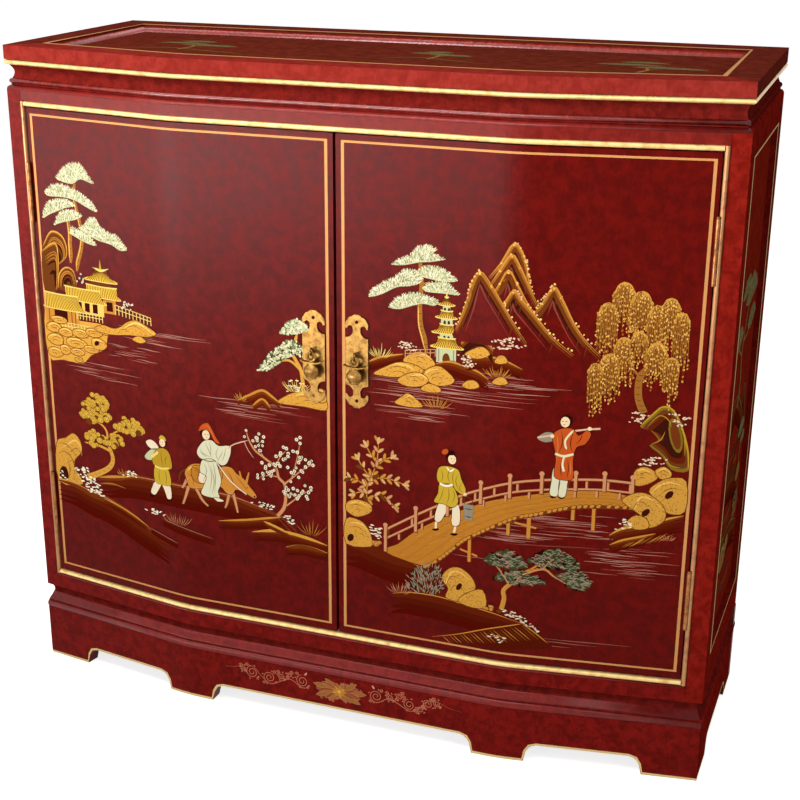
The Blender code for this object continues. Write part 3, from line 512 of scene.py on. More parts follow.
def frameLine(tone, wide, low, high):
    corners = [(low[0], low[1]), (high[0], low[1]), (high[0], high[1]), (low[0], high[1])]
    brush(tone, wide, corners, steps=1, closed=True)


def doorPlace(across, up, lift):
    return frontPlace(across, up, doorLine["inset"] - lift)


def finishDoor(word):
    finishCanvas(word + "_door_painting", doorPlace, word + "_door", bendStations(doorLine["inset"]))


# touches that the pictures share; each lays its own coats over what is there
def above(coats=1):
    picture["coat"] += coats


def heading(degrees):
    return Vector((math.cos(math.radians(degrees)), math.sin(math.radians(degrees))))


def stroke(tone, wide, start, angle, length, bow=0.0):
    way = heading(angle)
    start = Vector(start)
    middle = start + way * length * 0.5 + Vector((-way.y, way.x)) * bow
    brush(tone, wide, [start, middle, start + way * length], ends=(0.5, 0.6), steps=2)


def boughs(tone, lines):
    for wide, points in lines:
        brush(tone, wide, points, ends=(0, 0.15))


def barkRings(tone, points, wide, count):
    line = smoothed(points, 6)
    for k in range(count):
        spot = line[int((k + 0.5) * len(line) / count)]
        ring = [spot + Vector(p) for p in ((-wide / 2, 0.6), (0, -0.5), (wide / 2, 0.6))]
        brush(tone, 0.7, ring, ends=(0.2, 0.2), steps=1)


# a flat pad of pine needles: a pale ground with fans of needles that stand off its upper edge
def pinePad(loop, ground="sage", shades=("cream", "moss", "white"), needle=3.6, dense=0.2):
    chance = picture["chance"]
    middle, level = (sum(p[k] for p in loop) / len(loop) for k in (0, 1))
    # drawn in a little, since the needles stand out past it
    loop = [(middle + (x - middle) * 0.97, level + (y - level) * 0.9) for x, y in loop]
    patch(ground, loop)
    low, high = min(p[0] for p in loop), max(p[0] for p in loop)
    tall = max(p[1] for p in loop) - min(p[1] for p in loop)
    count = int((high - low) * tall * dense * 0.62)
    for k, shade in enumerate(shades):
        above()
        for spot in scattered(loop, count // (1 + k // 2)):
            lean = 90 - 62 * (spot[0] - middle) / (high - low) * 2
            wide = 0.75 if shade == "moss" else 1.15
            stroke(shade, wide, spot, lean + chance.uniform(-28, 28), needle * chance.uniform(0.7, 1.15))
    above()
    for x, y in alongLine(loop + loop[:1], int((high - low) * 0.8)):
        stroke(shades[0], 1.1, (x, y), 90 - 70 * (x - middle) / (high - low) * 2 + chance.uniform(-20, 20),
               needle * 0.6)
    for spot in scattered(loop, count // 7):
        dab("fir", spot, chance.uniform(0.4, 0.7), sides=5)


# a low spray of pale leaves in flat tiers on dark twigs
def spray(x, y, wide, tall, count):
    chance = picture["chance"]
    for turn in (35, 75, 120, 150):
        stroke("brown", 1.0, (x, y - tall), turn, max(wide, tall) * 0.95)
    above()
    tiers = [(x + chance.uniform(-0.55, 0.55) * wide, y - tall + 2 * tall * (k + 0.5) / 4) for k in range(4)]
    leaves = [(tx + chance.gauss(0, wide * 0.34), ty + chance.gauss(0, tall * 0.12)) for tx, ty in tiers
              for k in range(count // 4)]
    for tone, size in (("umber", 1.9), ("blush", 1.5), ("linen", 1.15)):
        above()
        for spot in leaves if tone != "linen" else leaves[::2]:
            dab(tone, spot, size * chance.uniform(0.85, 1.15), squash=0.55, turn=chance.uniform(-20, 20))


# foliage as close-set dots of several tones
def leafDots(loop, count, tones, size):
    for tone in tones:
        above()
        for spot in scattered(loop, count):
            dab(tone, spot, size * picture["chance"].uniform(0.6, 1.15), sides=6)


def blossoms(spots, size, jitter=0.0):
    chance = picture["chance"]
    spots = [(x + chance.uniform(-jitter, jitter), y + chance.uniform(-jitter, jitter)) for x, y in spots]
    for tone, share in (("umber", 1.15), ("linen", 0.88), ("brown", 0.3)):
        above()
        for spot in spots:
            dab(tone, spot, size * share * chance.uniform(0.8, 1.1))


def alongLine(points, count):
    line = smoothed(points, 8)
    return [line[min(int((k + 0.5) * len(line) / count), len(line) - 1)] for k in range(count)]


# a stone: a filled shape, a light crest, and thin brown contours that follow its top
def stone(loop, fill="gold", crest="paleGold", mark="brown", specks=0.05, line=0.9):
    chance = picture["chance"]
    patch(fill, loop)
    above()
    count = len(loop)
    middle = Vector((sum(p[0] for p in loop) / count, sum(p[1] for p in loop) / count))
    wide = max(p[0] for p in loop) - min(p[0] for p in loop)
    tall = max(p[1] for p in loop) - min(p[1] for p in loop)
    upper = [Vector(p) for p in sorted(p for p in loop if p[1] >= middle.y)]
    if len(upper) > 2:
        for share, tone, size in ((0.84, crest, min(2.2, tall * 0.16)), (0.66, mark, 0.7), (0.36, mark, 0.7)):
            low = middle - Vector((chance.uniform(-0.1, 0.1) * wide, tall * (1 - share) * 0.35))
            brush(tone, size, [low + (p - middle) * share for p in upper], ends=(0.4, 0.4))
    for spot in scattered(loop, int(wide * tall * specks)):
        stroke(mark, 0.7, spot, chance.uniform(-70, 70), chance.uniform(1.2, 2.8))
    above()
    brush(mark, line, loop, closed=True, steps=3)


def streaks(rows, tone, wide):
    for start, stop, level in rows:
        sway = picture["chance"].uniform(-0.7, 0.7)
        third = (stop - start) / 3
        brush(tone, wide, [(start, level), (start + third, level + sway), (stop - third, level - sway * 0.5),
                           (stop, level)], ends=(0.5, 0.5))


def grass(tone, at, spread, length, count, wide=0.9):
    chance = picture["chance"]
    for k in range(count):
        share = (k + 0.5) / count - 0.5
        start = (at[0] + spread * share * 0.5, at[1] + chance.uniform(-0.6, 0.6))
        stroke(tone, wide, start, 90 - share * 110 + chance.uniform(-8, 8), length * chance.uniform(0.6, 1.1),
               bow=-share * 2.2)


# a tiled roof: ridge and eaves given as (left, right, height), with swept corners and tile lines
def roof(ridge, eaves, pitch):
    (left, right, top), (eaveLeft, eaveRight, foot) = ridge, eaves
    sag = (top - foot) * 0.12
    halfway = (top + foot) / 2 - sag
    patch("tileGold", [(left, top), (right, top), ((right + eaveRight) / 2 - sag, halfway),
                       (eaveRight, foot + sag), (eaveRight - 3, foot - 0.4), (eaveLeft + 3, foot - 0.4),
                       (eaveLeft, foot + sag), ((left + eaveLeft) / 2 + sag, halfway)], steps=1)
    above()
    count = max(3, int((eaveRight - eaveLeft) / pitch))
    for k in range(1, count):
        share = k / count
        bar("brown", 1.0, [(left + (right - left) * share, top - 0.6),
                           (eaveLeft + (eaveRight - eaveLeft) * share, foot)])
    above()
    band("straw", 1.6, [(left - 1.5, top + 1), ((left + right) / 2, top), (right + 1.5, top + 1)])
    brush("straw", 1.1, [(eaveLeft, foot + sag), (eaveLeft + 4, foot - 0.4), (eaveRight - 4, foot - 0.4),
                         (eaveRight, foot + sag)], ends=(0, 0), steps=3)


def block(tone, left, right, low, high):
    patch(tone, [(left, low), (right, low), (right, high), (left, high)], steps=1)


fenceWide = 0.9


def fence(tone, foot, top, posts):
    for k in range(posts):
        share = k / (posts - 1)
        low = Vector(foot[0]).lerp(Vector(foot[1]), share)
        high = Vector(top[0]).lerp(Vector(top[1]), share)
        bar(tone, 1.2 * fenceWide, [low, high])
    for share in (1.0, 0.55):
        bar(tone, fenceWide, [Vector(foot[k]).lerp(Vector(top[k]), share) for k in (0, 1)])


# a painted person's head: plain oval face, hair and three small touches for brows and mouth
def head(at, size, facing):
    dab("ink", (at[0] - facing * size * 0.18, at[1] + size * 0.22), size * 1.12, sides=14)
    above()
    dab("skin", at, size, squash=0.84, turn=90, sides=14)
    above()
    for dx in (-0.30, 0.34):
        x = at[0] + facing * size * (0.12 + dx)
        brow = at[1] + size * 0.12
        bar("umber", size * 0.11, [(x - size * 0.16, brow), (x + size * 0.16, brow)])
    mouth = at[1] - size * 0.45
    bar("orange", size * 0.12, [(at[0], mouth), (at[0] + facing * size * 0.3, mouth)])


def folds(tone, wide, lines):
    above()
    for points in lines:
        brush(tone, wide, points, ends=(0.4, 0.4), steps=3)


# a hill's crest: a gold edge over soft browns that sink into the lacquer
hillTones = ("hillGold", "hillBrown", "hillRust", "hillRed", "hillDark")


def crest(points, reach, edge, wide, tones=hillTones):
    depth = reach / len(tones)
    for k, tone in reversed(list(enumerate(tones))):
        sunk = [(x, y - depth * (k + 0.4)) for x, y in points]
        brush(tone, depth * 1.7, sunk)
        above(0.5)
    brush(edge, wide, points, ends=(0.25, 0.25))
    above()


# foliage in round fans, each with a dark rim and a light upper edge
def fans(loop, count, size, leaf, rim, light):
    spots = sorted(scattered(loop, count), key=lambda p: -p[1])
    for x, y in spots:
        full = size * picture["chance"].uniform(0.8, 1.15)
        dab(rim, (x, y), full * 1.14, squash=0.86, sides=10)
        above(0.12)
        dab(leaf, (x, y + full * 0.1), full, squash=0.82, sides=10)
        above(0.12)
        for turn in (40, 90, 140):
            stroke(light if turn == 90 else rim, 0.8, (x, y - full * 0.3), turn, full * 0.9)
        above(0.12)


# rows of short flat dashes, for ground plants
def dashes(tone, loop, count, size):
    for spot in scattered(loop, count):
        dab(tone, spot, size * picture["chance"].uniform(0.7, 1.2), squash=0.42,
            turn=picture["chance"].uniform(-14, 14))


# still water: many thin level strokes, longest in the middle of the sheet
def water(left, right, low, high, count, tones=("mist", "haze", "mauve"), wide=1.1):
    chance = picture["chance"]
    for k in range(count):
        level = low + (high - low) * (k + chance.uniform(0, 1)) / count
        start = chance.uniform(left, left + (right - left) * 0.6)
        length = (right - left) * chance.uniform(0.2, 0.45)
        streaks([(start, min(start + length, right), level)], chance.choice(tones),
                wide * chance.uniform(0.7, 1.3))


# a piece of clothing: its cloth and a thin dark outline
def garment(tone, loop):
    patch(tone, loop)
    above(0.5)
    brush("umber", 0.7, loop, closed=True, steps=3)
    above(0.5)


# left door, far shore: pines, rocks, pavilions and the gold bank
picture = newCanvas(11)
frameLine("lineGold", doorLine["wide"], (-doorLine["outer"], doorLine["low"]),
          (-doorLine["meeting"], doorLine["high"]))
shorePines = [
    [(-390, 676), (-381, 686), (-366, 697), (-350, 698), (-339, 686), (-330, 674), (-350, 678), (-364, 670),
     (-384, 672)],
    [(-416, 622), (-413, 634), (-405, 645), (-389, 650), (-375, 651), (-362, 645), (-378, 640), (-396, 632),
     (-407, 627)],
    [(-410, 657), (-400, 666), (-384, 670), (-364, 666), (-344, 657), (-332, 648), (-327, 639), (-344, 644),
     (-362, 651), (-384, 653), (-405, 652)],
    [(-398, 615), (-392, 627), (-382, 636), (-366, 639), (-352, 634), (-362, 627), (-380, 622), (-394, 617)],
    [(-357, 617), (-346, 625), (-339, 633), (-330, 633), (-323, 623), (-312, 616), (-298, 614), (-291, 607),
     (-283, 597), (-294, 595), (-307, 601), (-328, 604), (-341, 609)],
    [(-373, 609), (-369, 617), (-353, 614), (-339, 607), (-332, 597), (-348, 599), (-362, 604)],
]
shoreTrunks = [
    ((5.5, 7.5), [(-376, 630), (-374, 609), (-375, 593), (-375, 570)]),
    ((3.5, 7.5), [(-360, 672), (-363, 655), (-357, 627), (-354, 609), (-357, 591), (-364, 573), (-366, 560)]),
    ((2.5, 2.0), [(-356, 618), (-340, 613), (-325, 609)]),
]
boughs("darkGold", shoreTrunks)
above()
for wide, points in shoreTrunks[:2]:
    barkRings("umber", points, 5, 12)
    brush("paleGold", 1.1, [(x - 1.6, y) for x, y in points], ends=(0.2, 0.2))
caveRocks = [
    [(-421, 586), (-409, 604), (-399, 608), (-387, 603), (-381, 591), (-383, 577), (-396, 566), (-421, 560)],
    [(-423, 580), (-409, 590), (-398, 592), (-396, 577), (-398, 554), (-402, 532), (-423, 528)],
    [(-400, 535), (-396, 554), (-384, 564), (-372, 560), (-368, 543), (-372, 532)],
]
for loop in caveRocks:
    patch("brown", loop)
    above()
    centre = Vector((sum(p[0] for p in loop) / len(loop), min(p[1] for p in loop) + 8))
    for share, tone, wide in ((0.34, "umber", 5.0), (0.58, "umber", 2.4), (0.74, "darkGold", 2.0),
                              (0.86, "brown", 2.0), (0.97, "darkGold", 2.4)):
        brush(tone, wide, [centre + (Vector(p) - centre) * share for p in loop[:-1]], ends=(0.2, 0.4))
    above()
    for share in (0.66, 0.8):
        brush("tan", 0.9, [centre + (Vector(p) - centre) * share for p in loop[:-1]], ends=(0.3, 0.5))
    brush("gold", 1.5, loop[:-1], ends=(0.2, 0.5))
    above()
for loop in shorePines:
    pinePad(loop)

picture["coat"] = 2
bankLoop = [(-425, 441), (-425, 507), (-400, 503), (-372, 497), (-350, 497), (-330, 497), (-312, 493),
            (-322, 484), (-326, 470), (-335, 461), (-352, 453), (-368, 440), (-400, 440)]
patch("gold", bankLoop)
above()
bankStones = [
    (-413, 448, 13, 7), (-395, 454, 9, 7), (-376, 466, 18, 7), (-375, 454, 12, 5), (-351, 461, 13, 5),
    (-338, 470, 13, 8), (-373, 444, 7, 3.5), (-410, 466, 14, 8), (-412, 482, 13, 7), (-392, 478, 12, 6),
    (-368, 480, 14, 6), (-345, 484, 14, 6), (-402, 493, 14, 5), (-326, 489, 12, 5),
]
for x, y, rx, ry in bankStones:
    stone([(x + rx * math.cos(t) * (1 + 0.08 * math.sin(3 * t + x)), y + ry * math.sin(t))
           for t in [math.radians(d) for d in range(0, 360, 45)]])
dab("umber", (-341, 471), 4.2, squash=0.7, turn=30, sides=12)
above()
stone([(-344, 489), (-330, 497), (-312, 495), (-300, 499), (-290, 506), (-275, 511), (-258, 506), (-243, 498),
       (-258, 492), (-285, 490), (-318, 486)], crest="straw")
stone([(-282, 485), (-276, 490), (-268, 491), (-260, 486), (-270, 482)])

picture["coat"] = 8
for row in (
        ("tan", -424, -368, 489, 508),
        ("paleGold", -385, -326, 507, 526),
        ("tan", -326, -306, 513, 533),
        ("brown", -345, -312, 530, 552)):
    block(*row)
above()
block("umber", -409, -387, 491, 506)
for x in (-418, -380, -374):
    bar("brown", 1.2, [(x, 489), (x, 507)])
for x in (-379, -366, -353, -340):
    block("umber", x - 4, x + 4, 510, 522)
for row in (
        ("umber", -338, -330, 531, 545),
        ("umber", -326, -318, 531, 545),
        ("umber", -321, -311, 516, 528)):
    block(*row)
above()
for row in (
        ((-352, -304, 546), (-357, -298, 532), 3),
        ((-334, -320, 568), (-354, -302, 553), 3),
        ((-388, -331, 539), (-391, -322, 523), 3),
        ((-423, -369, 527), (-425, -355, 508), 3)):
    roof(*row)
brush("straw", 2.4, [(-340, 570), (-327, 566.5), (-314, 571)], ends=(0.4, 0.4))
brush("yellow", (3.4, 1.0), [(-327.5, 568), (-327.5, 574), (-327.5, 581)], ends=(0, 0.4), steps=2)
above()
for row in (
        ("straw", ((-371, 499), (-329, 499)), ((-371, 508), (-329, 508)), 9),
        ("straw", ((-397, 481), (-349, 481)), ((-397, 491), (-349, 491)), 10),
        ("straw", ((-307, 514), (-251, 507)), ((-307, 526), (-251, 517)), 11)):
    fence(*row)
chance = picture["chance"]
for left, right, low, high, count in ((-297, -271, 522, 533, 14), (-369, -355, 547, 559, 10)):
    blossoms([(chance.uniform(left, right), chance.uniform(low, high)) for k in range(count)], 1.6)
picture["coat"] = 0
for row in (
        (-330, -230, 456, 476, 12),
        (-428, -270, 424, 447, 16),
        (-320, -190, 484, 500, 10)):
    water(*row)
streaks([(-305, -165, 496), (-244, -172, 499), (-270, -205, 484)], "mauve", 1.1)

# left door, island beside the pull plate
picture["coat"] = 0
water(-165, -15, 404, 428, 20)
streaks([(-186, -118, 427), (-150, -60, 420)], "mauve", 1.1)
crest([(-132, 427), (-115, 436), (-98, 444), (-85, 438), (-72, 429)], 12, "tan", 3.0, hillTones[:3])
crest([(-112, 422), (-98, 433), (-87, 423)], 8, "tan", 2.4, hillTones[:2])
stone([(-77, 431), (-63, 443), (-50, 448), (-35, 450), (-22, 447), (-13, 444), (-13, 429), (-41, 430)])
stone([(-30, 444), (-27, 452), (-20, 456), (-13, 452), (-13, 440), (-22, 438)], specks=0.06)
grass("straw", (-52, 447), 30, 17, 15)
dashes("cream", [(-70, 446), (-60, 462), (-44, 464), (-36, 448)], 22, 2.2)
grass("gold", (-127, 428), 14, 10, 8)
boughs("gold", [((5.0, 3.4), [(-42, 450), (-45, 474), (-51, 486), (-56, 496), (-52, 512), (-49, 522)]),
                ((3.6, 1.6), [(-47, 477), (-60, 486), (-75, 483), (-87, 473)]),
                ((2.4, 1.2), [(-56, 496), (-66, 502), (-74, 500)])])
islandPads = [
    [(-72, 519), (-64, 532), (-50, 539), (-38, 533), (-34, 526), (-48, 521), (-61, 518)],
    [(-104, 469), (-95, 480), (-86, 493), (-74, 502), (-63, 512), (-50, 511), (-41, 503), (-41, 492),
     (-54, 494), (-67, 487), (-80, 477), (-92, 469)],
]
for loop in islandPads:
    patch("fir", loop)
    above()
    leafDots(loop, 70, ("moss",), 1.9)
    leafDots(loop, 95, ("cream", "sage"), 1.5)
    leafDots(loop, 40, ("white",), 1.1)

# left door, near bank: the gold pine and holed rock
picture["coat"] = 0
for row in (
        ([(-356, 284), (-321, 292), (-290, 299), (-240, 301), (-195, 301), (-150, 299), (-118, 293),
          (-80, 283)], 30, "copper", 1.0),
        ([(-424, 270), (-395, 268), (-370, 263), (-345, 259), (-315, 250), (-290, 239), (-262, 226),
          (-240, 217)], 34, "copper", 1.2),
        ([(-348, 257), (-322, 252), (-296, 243), (-272, 232)], 9, "tan", 2.2, hillTones[:3])):
    crest(*row)
brush("tan", (5.0, 1.6), [(-352, 286), (-330, 291), (-305, 296), (-284, 302)], ends=(0.3, 0.4))
brush("darkGold", 2.4, [(-352, 277), (-330, 281), (-308, 279)], ends=(0.3, 0.5))
for row in (
        ([(-250, 249), (-214, 243), (-172, 235)], 10, "mist", 1.0, hillTones[2:]),
        ([(-272, 232), (-250, 226), (-224, 219)], 8, "mist", 1.0, hillTones[2:]),
        ([(-164, 262), (-126, 269), (-100, 275), (-74, 281)], 12, "tan", 2.8, hillTones[:4]),
        ([(-117, 254), (-83, 261), (-48, 259), (-13, 252)], 14, "gold", 4.0, hillTones[:4]),
        ([(-70, 241), (-45, 246), (-13, 242)], 12, "tan", 3.2, hillTones[:4]),
        ([(-100, 271), (-85, 267), (-66, 260)], 6, "gold", 3.0, hillTones[:2])):
    crest(*row)
for start, stop in (((-80, 279), (-62, 262)), ((-74, 279), (-54, 264)), ((-70, 278), (-60, 272))):
    brush("tan", 1.6, [start, stop], ends=(0.2, 0.2), steps=1)
picture["coat"] = 4
stone([(-424, 320), (-407, 331), (-392, 340), (-381, 331), (-380, 316), (-392, 303), (-394, 290), (-387, 282),
       (-383, 269), (-424, 266)], line=1.1)
folds("brown", 1.1, [[(-423, 305), (-412, 311), (-401, 307), (-395, 295), (-396, 275)],
                     [(-418, 322), (-404, 321), (-393, 311)], [(-405, 300), (-403, 285), (-407, 270)]])
patch("umber", [(-422, 279), (-416, 289), (-408, 286), (-407, 273), (-420, 271)])
above()
dashes("white", [(-396, 292), (-372, 296), (-362, 284), (-344, 268), (-346, 259), (-372, 262), (-384, 274)],
       74, 2.3)
dashes("white", [(-422, 271), (-420, 284), (-410, 283), (-408, 271)], 9, 2.0)
boughs("gold", [((9, 5), [(-372, 282), (-355, 290), (-335, 302), (-327, 314), (-329, 326), (-336, 338)]),
                ((4, 2.2), [(-331, 327), (-350, 331), (-374, 331)]),
                ((4, 2.0), [(-335, 336), (-334, 352), (-344, 362), (-366, 367)]),
                ((3, 1.6), [(-330, 346), (-318, 356), (-300, 361)]),
                ((2.4, 1.4), [(-344, 362), (-350, 374), (-352, 386)])])
above()
barkRings("brown", [(-366, 285), (-352, 292), (-335, 302), (-327, 314), (-330, 328)], 5, 9)
goldPads = [
    [(-375, 384), (-365, 394), (-350, 402), (-338, 399), (-329, 391), (-333, 382), (-350, 380), (-366, 379)],
    [(-380, 365), (-371, 376), (-355, 384), (-338, 382), (-324, 376), (-328, 367), (-345, 364), (-362, 362)],
    [(-326, 363), (-313, 374), (-297, 380), (-283, 374), (-271, 362), (-285, 357), (-305, 358)],
    [(-376, 330), (-368, 342), (-355, 352), (-340, 350), (-325, 354), (-311, 348), (-308, 336), (-325, 333),
     (-342, 334), (-358, 329)],
]
goldCoat = picture["coat"]
for loop in goldPads:
    picture["coat"] = goldCoat
    fans(loop, 44, 4.4, "amber", "brown", "straw")
grass("gold", (-306, 297), 44, 10, 14)
dashes("white", [(-312, 296), (-300, 307), (-282, 304), (-284, 299)], 18, 2.0)
grass("rose", (-225, 246), 46, 17, 13, 0.8)
dashes("white", [(-283, 256), (-262, 262), (-244, 257), (-238, 250), (-258, 252)], 22, 2.0)
grass("tan", (-35, 262), 24, 21, 9, 0.8)

# left door, the path: a walker with a bundle, a rider on a donkey, and a flowering tree
picture["coat"] = 6
garment("linen", [(-270, 352), (-262, 356), (-254, 353), (-249, 346), (-259, 343), (-267, 346)])
garment("sage", [(-273, 332), (-263, 342), (-251, 345), (-253, 333), (-261, 328), (-270, 327)])
above()
garment("linen", [(-257, 301), (-247, 300), (-253, 288), (-260, 280), (-266, 284)])
garment("linen", [(-247, 300), (-234, 300), (-232, 282), (-239, 279), (-243, 289)])
for x in (-264, -236):
    brush("ink", 2.2, [(x - 4, 278), (x, 277.5), (x + 3, 279)], ends=(0.2, 0.2))
above()
garment("yellow", [(-256, 322), (-237, 322), (-232, 300), (-245, 297), (-258, 300)])
garment("mustard", [(-253, 344), (-241, 348), (-232, 342), (-229, 324), (-237, 320), (-256, 320),
                    (-261, 330)])
folds("umber", 0.7, [[(-245, 346), (-246, 334), (-243, 321)], [(-250, 319), (-251, 308), (-249, 299)],
                     [(-241, 319), (-239, 309), (-240, 299)], [(-236, 338), (-240, 332), (-238, 324)]])
band("straw", 2.6, [(-257, 321), (-246, 319.5), (-234, 322)])
brush("straw", 3.6, [(-251, 341), (-258, 335), (-263, 331)], ends=(0, 0.2))
above()
head((-243, 355), 5.6, -1)
above()
patch("yellow", [(-248, 360), (-244, 365), (-238, 363), (-237, 358), (-242, 360)])

picture["coat"] = 6
donkeyLegs = [[(-206, 314), (-212, 303), (-216, 298)], [(-205, 303), (-211, 286), (-215, 276)],
              [(-195, 303), (-186, 287), (-177, 279)], [(-147, 304), (-151, 288), (-154, 281)],
              [(-142, 303), (-138, 286), (-136, 276)]]
for points in donkeyLegs:
    band("brown", (5.6, 3.0), points)
above()
for points in donkeyLegs:
    band("rose", (4.4, 2.0), points)
    dab("umber", points[-1], 1.7, squash=0.7)
brush("brown", (1.6, 2.8), [(-208, 326), (-217, 318), (-219, 306)], ends=(0, 0.3))
garment("tan", [(-210, 322), (-201, 333), (-186, 336), (-170, 331), (-155, 337), (-143, 337), (-136, 330),
                (-127, 325), (-118, 315), (-109, 304), (-113, 300), (-126, 306), (-138, 308), (-142, 301),
                (-151, 301), (-160, 309), (-174, 305), (-188, 302), (-203, 301), (-208, 312)])
above()
for x, tip in ((-129, -132), (-123, -119)):
    bar("tan", (3.6, 1.8), [(x, 320), (tip, 334)])
folds("brown", 0.9, [[(-204, 331), (-190, 327), (-186, 310)], [(-150, 334), (-143, 322), (-140, 309)],
                     [(-138, 328), (-129, 318), (-121, 308)], [(-198, 305), (-199, 316), (-207, 321)]])
brush("paleGold", 1.8, [(-206, 324), (-198, 331), (-186, 333)])
dab("ink", (-122, 313), 1.1, squash=0.6)
dab("umber", (-112, 302.5), 1.4)
garment("ochre", [(-198, 331), (-186, 334), (-160, 334), (-156, 322), (-166, 314), (-190, 309), (-200, 318)])
folds("brown", 0.8, [[(-196, 328), (-189, 322), (-194, 313)], [(-192, 331), (-184, 323), (-188, 312)]])
garment("linen", [(-190, 322), (-184, 325), (-179, 318), (-183, 310), (-190, 312)])
above()
garment("robe", [(-183, 343), (-167, 345), (-160, 328), (-158, 315), (-163, 302), (-161, 294), (-170, 292),
                 (-187, 295), (-183, 308), (-179, 320), (-188, 326)])
garment("linen", [(-170, 293), (-161, 293), (-155, 290), (-164, 288)])
above()
garment("robe", [(-188, 359), (-180, 368), (-169, 370), (-160, 364), (-145, 366), (-143, 357), (-149, 342),
                 (-157, 338), (-165, 343), (-172, 345), (-185, 343), (-191, 350)])
folds("moss", 0.8, [[(-186, 357), (-183, 350), (-176, 346)], [(-154, 358), (-158, 350), (-162, 344)],
                    [(-173, 368), (-171, 358), (-172, 347)], [(-172, 336), (-168, 315), (-172, 296)],
                    [(-179, 366), (-174, 356), (-170, 346)], [(-160, 362), (-164, 352), (-160, 342)],
                    [(-150, 363), (-152, 353), (-156, 343)], [(-176, 340), (-171, 322), (-175, 300)],
                    [(-169, 342), (-166, 322), (-168, 298)], [(-187, 352), (-180, 350), (-172, 347)],
                    [(-182, 338), (-178, 328), (-184, 312)]])
band("moss", 1.6, [(-184, 343), (-175, 341), (-166, 343)])
head((-177, 376), 6.4, 1)
above()
patch("orange", [(-187, 380), (-183, 388), (-174, 392), (-168, 384), (-163, 374), (-158, 367), (-165, 369),
                 (-171, 380), (-179, 383)])
folds("coral", 1.0, [[(-182, 386), (-174, 388), (-168, 378), (-163, 370)]])
bar("skin", 2.6, [(-147, 362), (-143, 364.5)])
brush("blush", 1.5, [(-147, 362), (-138, 369), (-118, 377)], ends=(0, 0.2))
brush("blush", 0.9, [(-124, 375), (-119, 364), (-111, 354)], ends=(0, 0.3))
band("linen", 1.4, [(-164, 342), (-145, 319), (-123, 304)])

picture["coat"] = 4
prunus = [
    ((6.0, 1.6), [(-81, 281), (-72, 293), (-69, 308), (-70, 325), (-78, 333), (-82, 346), (-98, 357),
                  (-110, 365), (-118, 378), (-121, 390)]),
    ((3.0, 1.0), [(-70, 326), (-60, 335), (-48, 346), (-31, 358)]),
    ((2.6, 1.0), [(-68, 297), (-52, 311), (-36, 323)]),
    ((2.0, 0.9), [(-60, 336), (-53, 360), (-48, 384)]),
    ((2.0, 0.9), [(-80, 334), (-92, 334), (-104, 330)]),
    ((1.8, 0.9), [(-82, 347), (-76, 360), (-68, 369)]),
    ((1.6, 0.8), [(-98, 357), (-104, 370), (-100, 381)]),
    ((1.6, 0.8), [(-55, 309), (-62, 316), (-66, 318)]),
]
for wide, points in prunus:
    brush("brown", (wide[0] + 0.8, wide[1] + 0.5), points, ends=(0, 0.1))
above()
for wide, points in prunus:
    brush("rose", (wide[0] * 0.75, wide[1]), points, ends=(0, 0.1))
for wide, points in prunus:
    if wide[0] < 6:
        blossoms(alongLine(points[len(points) // 3:], 8), 2.7, jitter=6.5)
blossoms(alongLine([(-104, 346), (-92, 350), (-80, 356), (-70, 352)], 9), 2.7, jitter=6)
blossoms(alongLine([(-103, 334), (-92, 336), (-82, 342)], 6), 2.7, jitter=4)
blossoms(alongLine([(-70, 362), (-60, 370), (-46, 364), (-34, 358), (-52, 350), (-64, 344)], 13), 2.7,
         jitter=5)
blossoms([(-121, 390), (-124, 382), (-107, 381), (-99, 379), (-104, 373), (-112, 377), (-109, 371),
          (-98, 373), (-34, 323), (-38, 310), (-40, 314), (-46, 321), (-58, 322), (-64, 318), (-66, 312),
          (-56, 313), (-52, 319)], 2.7, jitter=1)
dashes("white", [(-118, 294), (-100, 298), (-84, 296), (-84, 287), (-100, 290)], 24, 1.9)
dashes("white", [(-74, 284), (-60, 284), (-56, 273), (-66, 275)], 16, 1.9)
finishDoor("left")

